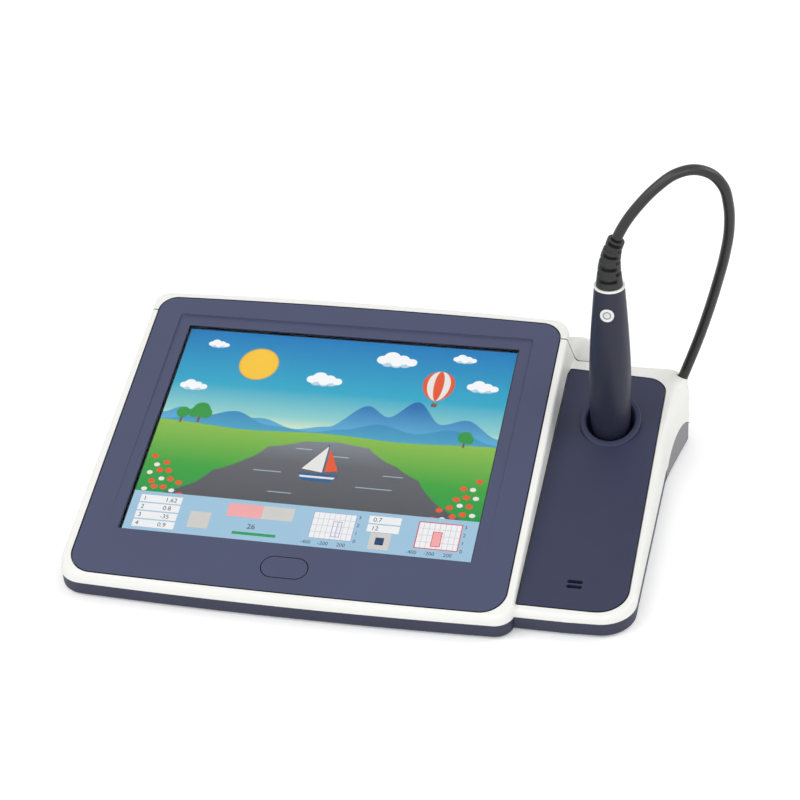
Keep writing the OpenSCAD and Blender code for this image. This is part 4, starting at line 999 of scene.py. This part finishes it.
def layer(name, mat, level, *shapes, lift=0):
    """Flat shapes on the display, kept inside it, each a lift above the one before."""
    verts, faces = [], []
    for i, ring in enumerate(shapes):
        z = (level + lift * i) * LAYER - CELL_DEEP
        pts = [Vector((clamp(u, -W2, W2), clamp(v, -H2, H2), z)) for u, v in ring]
        start = len(verts)
        verts += [ON_SCREEN @ p for p in pts]
        for tri in tessellate_polygon([pts]):
            a, b, c = (pts[i] for i in tri)
            faces.append([start + i for i in (tri if (b - a).cross(c - a).z > 0 else reversed(tri))])
    picture_piece(name, verts, faces, mat)


def box(u, v, w, h):
    return [(u, v), (u + w, v), (u + w, v + h), (u, v + h)]


def frame_lines(u, v, w, h, t):
    return [box(u, v, w, t), box(u, v + h - t, w, t), box(u, v + t, t, h - 2 * t),
            box(u + w - t, v + t, t, h - 2 * t)]


def ridge(foot, *points):
    """Rounded ridge line through points, closed at the foot."""
    ring = [(points[0][0], foot)]
    for (ua, va), (ub, vb) in zip(points, points[1:]):
        ring += [(ua + (ub - ua) * k / 10, va + (vb - va) * ease(k / 10)) for k in range(10)]
    return ring + [points[-1], (points[-1][0], foot)]


def palette(group, **colors):
    """Plain lit colours, in the order given."""
    return [lit(group + name, color) for name, color in colors.items()]


HORIZON, BAND = 3, -H2 + 23.6
SKY = lit("picture_sky", (232, 238, 196), (HORIZON, H2), (0.16, (140, 204, 202)),
          (0.45, (40, 164, 196)), (1, (2, 118, 184)))
FAR = lit("picture_far", (96, 178, 214), (HORIZON, 26), (1, (24, 104, 172)))
NEAR = lit("picture_near", (70, 158, 192), (HORIZON, 16), (1, (46, 130, 184)))
MEADOW = lit("picture_meadow", (20, 146, 62), (BAND, HORIZON), (0.45, (56, 158, 54)), (1, (134, 184, 70)))
LAKE = lit("picture_lake", (80, 82, 86), (BAND, HORIZON), (0.6, (96, 98, 103)), (1, (132, 138, 146)))
SUN, SUN_RIM, CLOUD, SHADE, RED, PALE, LEAF, BARK, HULL = palette(
    "picture_", sun=(246, 196, 52), rim=(226, 170, 60), cloud=(244, 246, 248), shade=(186, 208, 222),
    red=(226, 84, 40), pale=(230, 228, 224), leaf=(44, 148, 60), bark=(120, 84, 50), hull=(24, 92, 150))
layer("picture_sky", SKY, 0, box(-W2, HORIZON - 1, SCREEN_W, H2 - HORIZON + 1))
layer("picture_sun_rim", SUN_RIM, 1, disc(-44, 44, 10.3))
layer("picture_sun", SUN, 2, disc(-44, 44, 9.6))
layer("picture_far_hills", FAR, 1, ridge(
    HORIZON - 2, (-W2, 9), (-76, 13), (-58, 6), (-34, 10), (-16, 5), (0, 8), (18, 23), (29, 17),
    (42, 28), (56, 15), (68, 19), (W2, 9)))
layer("picture_near_hills", NEAR, 2, ridge(
    HORIZON - 2, (-W2, 5), (-66, 8), (-48, 13), (-30, 6), (-8, 4), (8, 7), (26, 12), (44, 8),
    (62, 12), (W2, 5)))
puffs, shades = [], []
for u, v, s in ((-8, 37, 1.15), (26, 53, 1.3), (72, 40, 1), (-74, 27, 0.9), (60, 57, 0.75), (-68, 55, 0.7)):
    puffs += [disc(u + du * s, v + dv * s, r * s, 32, 0.85) for du, dv, r in (
        (-5.6, 0, 2.4), (-2.2, 1.4, 3.3), (2.2, 0.6, 2.7), (5.8, -0.4, 2.2), (0, -0.8, 2.4))]
    shades += [disc(u + du * s, v + dv * s, r * s, 32, 0.8) for du, dv, r in (
        (-3.4, -1.2, 2.6), (3.4, -1.3, 2.4), (0, -1.6, 2.4))]
layer("picture_cloud_shades", SHADE, 2.4, *shades, lift=0.02)
layer("picture_clouds", CLOUD, 3.4, *puffs, lift=0.02)
layer("picture_meadow", MEADOW, 3, ridge(BAND - 1, (-W2, 4.5), (-40, 2), (0, 3.6), (40, 2), (W2, 4)))
shore = [(-74, BAND - 0.5), (-58, -33), (-50, -24), (-34, -15), (-26, -7), (-8, -2), (8, -1),
         (24, -3), (30, -8), (40, -13), (52, -20), (60, -30), (78, BAND - 0.5)]
lake = []
for a, b in zip(shore, shore[1:]):
    power = 1.3 if a[0] < 0 else 0.8
    lake += [(a[0] + (b[0] - a[0]) * k / 6, a[1] + (b[1] - a[1]) * (k / 6) ** power) for k in range(6)]
layer("picture_lake", LAKE, 4, lake + [shore[-1]])
layer("picture_ripples", SHADE, 4.5, *(box(u, v, w, 0.35) for u, v, w in (
    (-30, -22, 14), (6, -10, 9), (22, -27, 18), (-20, -34, 12), (34, -19, 10), (-12, -7, 8))))
# Boat, balloon, trees and beds of flowers
layer("picture_hull", HULL, 5, [(-8, -21), (-5, -25.4), (9, -25.4), (12.5, -21)], box(3.6, -21, 0.8, 18))
layer("picture_sails", PALE, 6, [(4, -20), (4, -4), (-6.5, -18.6)])
layer("picture_jib", RED, 6, [(5.2, -19.6), (5.2, -5.6), (11.6, -18.4)])
layer("picture_hull_line", PALE, 6, [(-6.9, -22.4), (-6.1, -23.6), (10.2, -23.6), (11.2, -22.4)])
BALLOON_U, BALLOON_V, BALLOON_R, BALLOON_LOW = 50, 40, 8, 10.6


def gore(a, b):
    """One panel of the balloon between two shares of its width."""
    left, right = [], []
    for k in range(25):
        t = pi * k / 24
        if t < pi / 2:
            high, wide = BALLOON_V + 8.2 * cos(t), BALLOON_R * sin(t)
        else:
            high = BALLOON_V + BALLOON_LOW * cos(t)
            wide = BALLOON_R * max(sin(t), 0.18) ** 1.15
        left.append((BALLOON_U + a * wide, high))
        right.append((BALLOON_U + b * wide, high))
    return left + right[::-1]


layer("picture_balloon_red", RED, 5, gore(-1, -0.72), gore(-0.3, 0.3), gore(0.72, 1))
layer("picture_balloon_pale", PALE, 5, gore(-0.72, -0.3), gore(0.3, 0.72))
layer("picture_basket", BARK, 5, box(BALLOON_U - 1.4, BALLOON_V - 14.4, 2.8, 2.2),
      *(box(BALLOON_U + du, BALLOON_V - 12.4, 0.25, 2.2) for du in (-1.1, 0.85)))
layer("picture_trunks", BARK, 4, box(-66.4, 4, 1.4, 6), box(-75.2, 3, 1.1, 5), box(68.6, 2, 1.1, 5))
layer("picture_leaves", LEAF, 5, *(disc(*c) for c in (
    (-65.7, 12, 4.6), (-68.6, 10, 3.2), (-62.8, 10, 3.2), (-74.6, 9.6, 3.4), (69.1, 8.4, 3.6),
    (71, 7, 2.6))), lift=0.05)
beds = [(side * (-81 + 4.6 * k + 2.3 * (j % 2)), -39 + 5 * j + 2.2 * sin(k + shift))
        for side, shift in ((1, 0), (-1, 1)) for j in range(5) for k in range(5 - j)]
layer("picture_flowers", RED, 5, *(disc(u, v, 1.75, 20, 0.8) for i, (u, v) in enumerate(beds) if i % 3))
layer("picture_daisies", PALE, 5, *(disc(u, v, 1.5, 20, 0.8) for u, v in beds[::3]))

# Value band
BLUE_BAND, PAPER, TILE, INK, PINK, CRIMSON, VIOLET, GREEN, DEEP, LINES = palette(
    "band_", blue=(156, 194, 218), paper=(238, 238, 240), tile=(206, 204, 200), ink=(40, 44, 54),
    pink=(240, 168, 168), crimson=(206, 70, 84), violet=(150, 156, 200), green=(24, 156, 82),
    deep=(18, 62, 104), lines=(196, 198, 206))
GRAPHS, GRAPH_V, GRAPH_W, GRAPH_H = (6, 57), -H2 + 5.6, 21, 15.4
SHEET_V, SHEET_STEP, SHEET_H = BAND - 6.3, 4.9, 4.2
layer("band_ground", BLUE_BAND, 5, box(-W2, -H2, SCREEN_W, BAND + H2))
layer("band_sheets", PAPER, 6, *(box(-81, SHEET_V - SHEET_STEP * k, 21, SHEET_H) for k in range(4)),
      *(box(33, SHEET_V - SHEET_STEP * k, 15.5, SHEET_H) for k in range(2)),
      *(box(u, GRAPH_V, GRAPH_W, GRAPH_H) for u in GRAPHS))
layer("band_grids", LINES, 6.5,
      *(box(u + 2.6 * k, GRAPH_V + 0.4, 0.25, GRAPH_H - 0.8) for u in GRAPHS for k in range(1, 8)),
      *(box(u + 0.4, GRAPH_V + 3.8 * k, GRAPH_W - 0.8, 0.25) for u in GRAPHS for k in range(1, 4)))
layer("band_red_frame", CRIMSON, 7, *frame_lines(57, GRAPH_V, GRAPH_W, GRAPH_H, 0.5),
      *frame_lines(64.6, GRAPH_V + 1.6, 4.6, 8.6, 0.35))
layer("band_red_fill", PINK, 6.8, box(64.9, GRAPH_V + 1.9, 4, 8))
layer("band_violet_frame", VIOLET, 7, *frame_lines(6, GRAPH_V, GRAPH_W, GRAPH_H, 0.3),
      *frame_lines(16.4, GRAPH_V + 1.6, 4.4, 9, 0.35), box(18.5, GRAPH_V + 1.6, 0.3, 9))
layer("band_tiles", TILE, 6, box(-54, -H2 + 5, 10.4, 9.4), box(-19, BAND - 10, 15.4, 7.6),
      box(35.4, -H2 + 2.6, 10, 9.4))
layer("band_pink_tile", PINK, 6, box(-36.4, BAND - 10, 17.4, 7.6))
layer("band_tile_lines", LINES, 7, *frame_lines(-51.4, -H2 + 7.4, 5.2, 4.6, 0.25),
      box(-13.6, BAND - 7.2, 4.6, 0.3), box(-13.6, BAND - 5.6, 4.6, 0.3))
layer("band_deep_square", DEEP, 7, box(38.3, -H2 + 5.2, 4.2, 4.2))
layer("band_bar", GREEN, 6, box(-31, -H2 + 3.6, 21.5, 1.6))


def numbers(name, labels, mat):
    """Plain numbers on the display, from (text, u, v, height)."""
    verts, faces = [], []
    for text, u, v, size in labels:
        data = bpy.data.curves.new("number", "FONT")
        data.body, data.size, data.resolution_u = text, size * 1.4, 3
        obj = new_object("number", data)
        mesh = evaluated_mesh(obj)
        start = len(verts)
        verts += [ON_SCREEN @ Vector((u + p.co.x, v + p.co.y, FACE_TOP)) for p in mesh.vertices]
        faces += [tuple(start + i for i in f.vertices) for f in mesh.polygons]
        bpy.data.objects.remove(obj)
        bpy.data.curves.remove(data)
        bpy.data.meshes.remove(mesh)
    picture_piece(name, verts, faces, mat)


def column(u, *texts):
    return [(t, u, BAND - 5.4 - SHEET_STEP * k, 2.5) for k, t in enumerate(texts)]


labels = column(-79.6, *"1234") + column(-68.4, "1.62", "0.8", "-35", "0.9") + column(35, "0.7", "12")
for u in GRAPHS:
    labels += [(t, u + 21.8, GRAPH_V - 0.6 + 4.6 * k, 2) for k, t in enumerate("0123")]
    labels += [(t, u + du, GRAPH_V - 3.4, 2) for t, du in (("-400", -3), ("-200", 5.4), ("200", 14.6))]
numbers("band_numbers", labels + [("26", -24.6, -H2 + 7.2, 3)], INK)

# Floor that the camera sees a little brighter than its light, and surroundings
FLOOR_N, FLOOR_STEP = 40, 100
row, places = 2 * FLOOR_N + 1, range(-FLOOR_N, FLOOR_N + 1)
mat = finish("studio_floor", (247, 247, 247), 0.6, vary=0.004, spread=0.02, grain=300, bump=0,
             Emission_Color=(1, 1, 1, 1))
tree = mat.node_tree
seen = add_node(tree, "ShaderNodeLightPath")
share = add_node(tree, "ShaderNodeMath", operation="MULTIPLY")
share.inputs[1].default_value = 0.2
link(seen, "Is Camera Ray", share, 0)
link(share, "Value", tree.nodes["Principled BSDF"], "Emission Strength")
points = [(x * FLOOR_STEP, y * FLOOR_STEP, -0.02) for y in places for x in places]
squares = [(j * row + i, j * row + i + 1, (j + 1) * row + i + 1, (j + 1) * row + i)
           for j in range(row - 1) for i in range(row - 1)]
floor = mesh_object("studio_floor", points, squares, mat)
floor.data.shade_smooth()


def softbox(name, place, target_z, size, watts):
    """Rectangular light that faces the point over the origin."""
    data = bpy.data.lights.new(name, "AREA")
    data.shape, data.size, data.size_y, data.energy = "RECTANGLE", size[0], size[1], watts
    lamp = new_object(name, data)
    lamp.location = place
    lamp.rotation_euler = (Vector(place) - Vector((0, 0, target_z))).to_track_quat("Z", "Y").to_euler()


softbox("key_softbox", (-1, -0.7, 1.4), 0.02, (1.1, 1.1), 9.5)
softbox("front_softbox", (0.35, -1.6, 0.8), 0.03, (1.6, 0.9), 8.7)
softbox("right_softbox", (1.4, 0.35, 1.1), 0.02, (1.2, 1), 9)

# World: white where it is seen, dimmer as a light
scene.world = bpy.data.worlds.new("studio")
scene.world.use_nodes = True
tree = scene.world.node_tree
tree.nodes.clear()
out = add_node(tree, "ShaderNodeOutputWorld")
both = add_node(tree, "ShaderNodeMixShader")
path = add_node(tree, "ShaderNodeLightPath")
for i, strength in ((1, 0.62), (2, 1)):
    sky = add_node(tree, "ShaderNodeBackground", Color=(1, 1, 1, 1), Strength=strength)
    link(sky, "Background", both, i)
first, second = (add_node(tree, "ShaderNodeMath", operation="MAXIMUM") for k in range(2))
link(path, "Is Camera Ray", first, 0)
link(path, "Is Glossy Ray", first, 1)
link(first, 0, second, 0)
link(path, "Is Transmission Ray", second, 1)
link(second, 0, both, "Fac")
link(both, "Shader", out, "Surface")
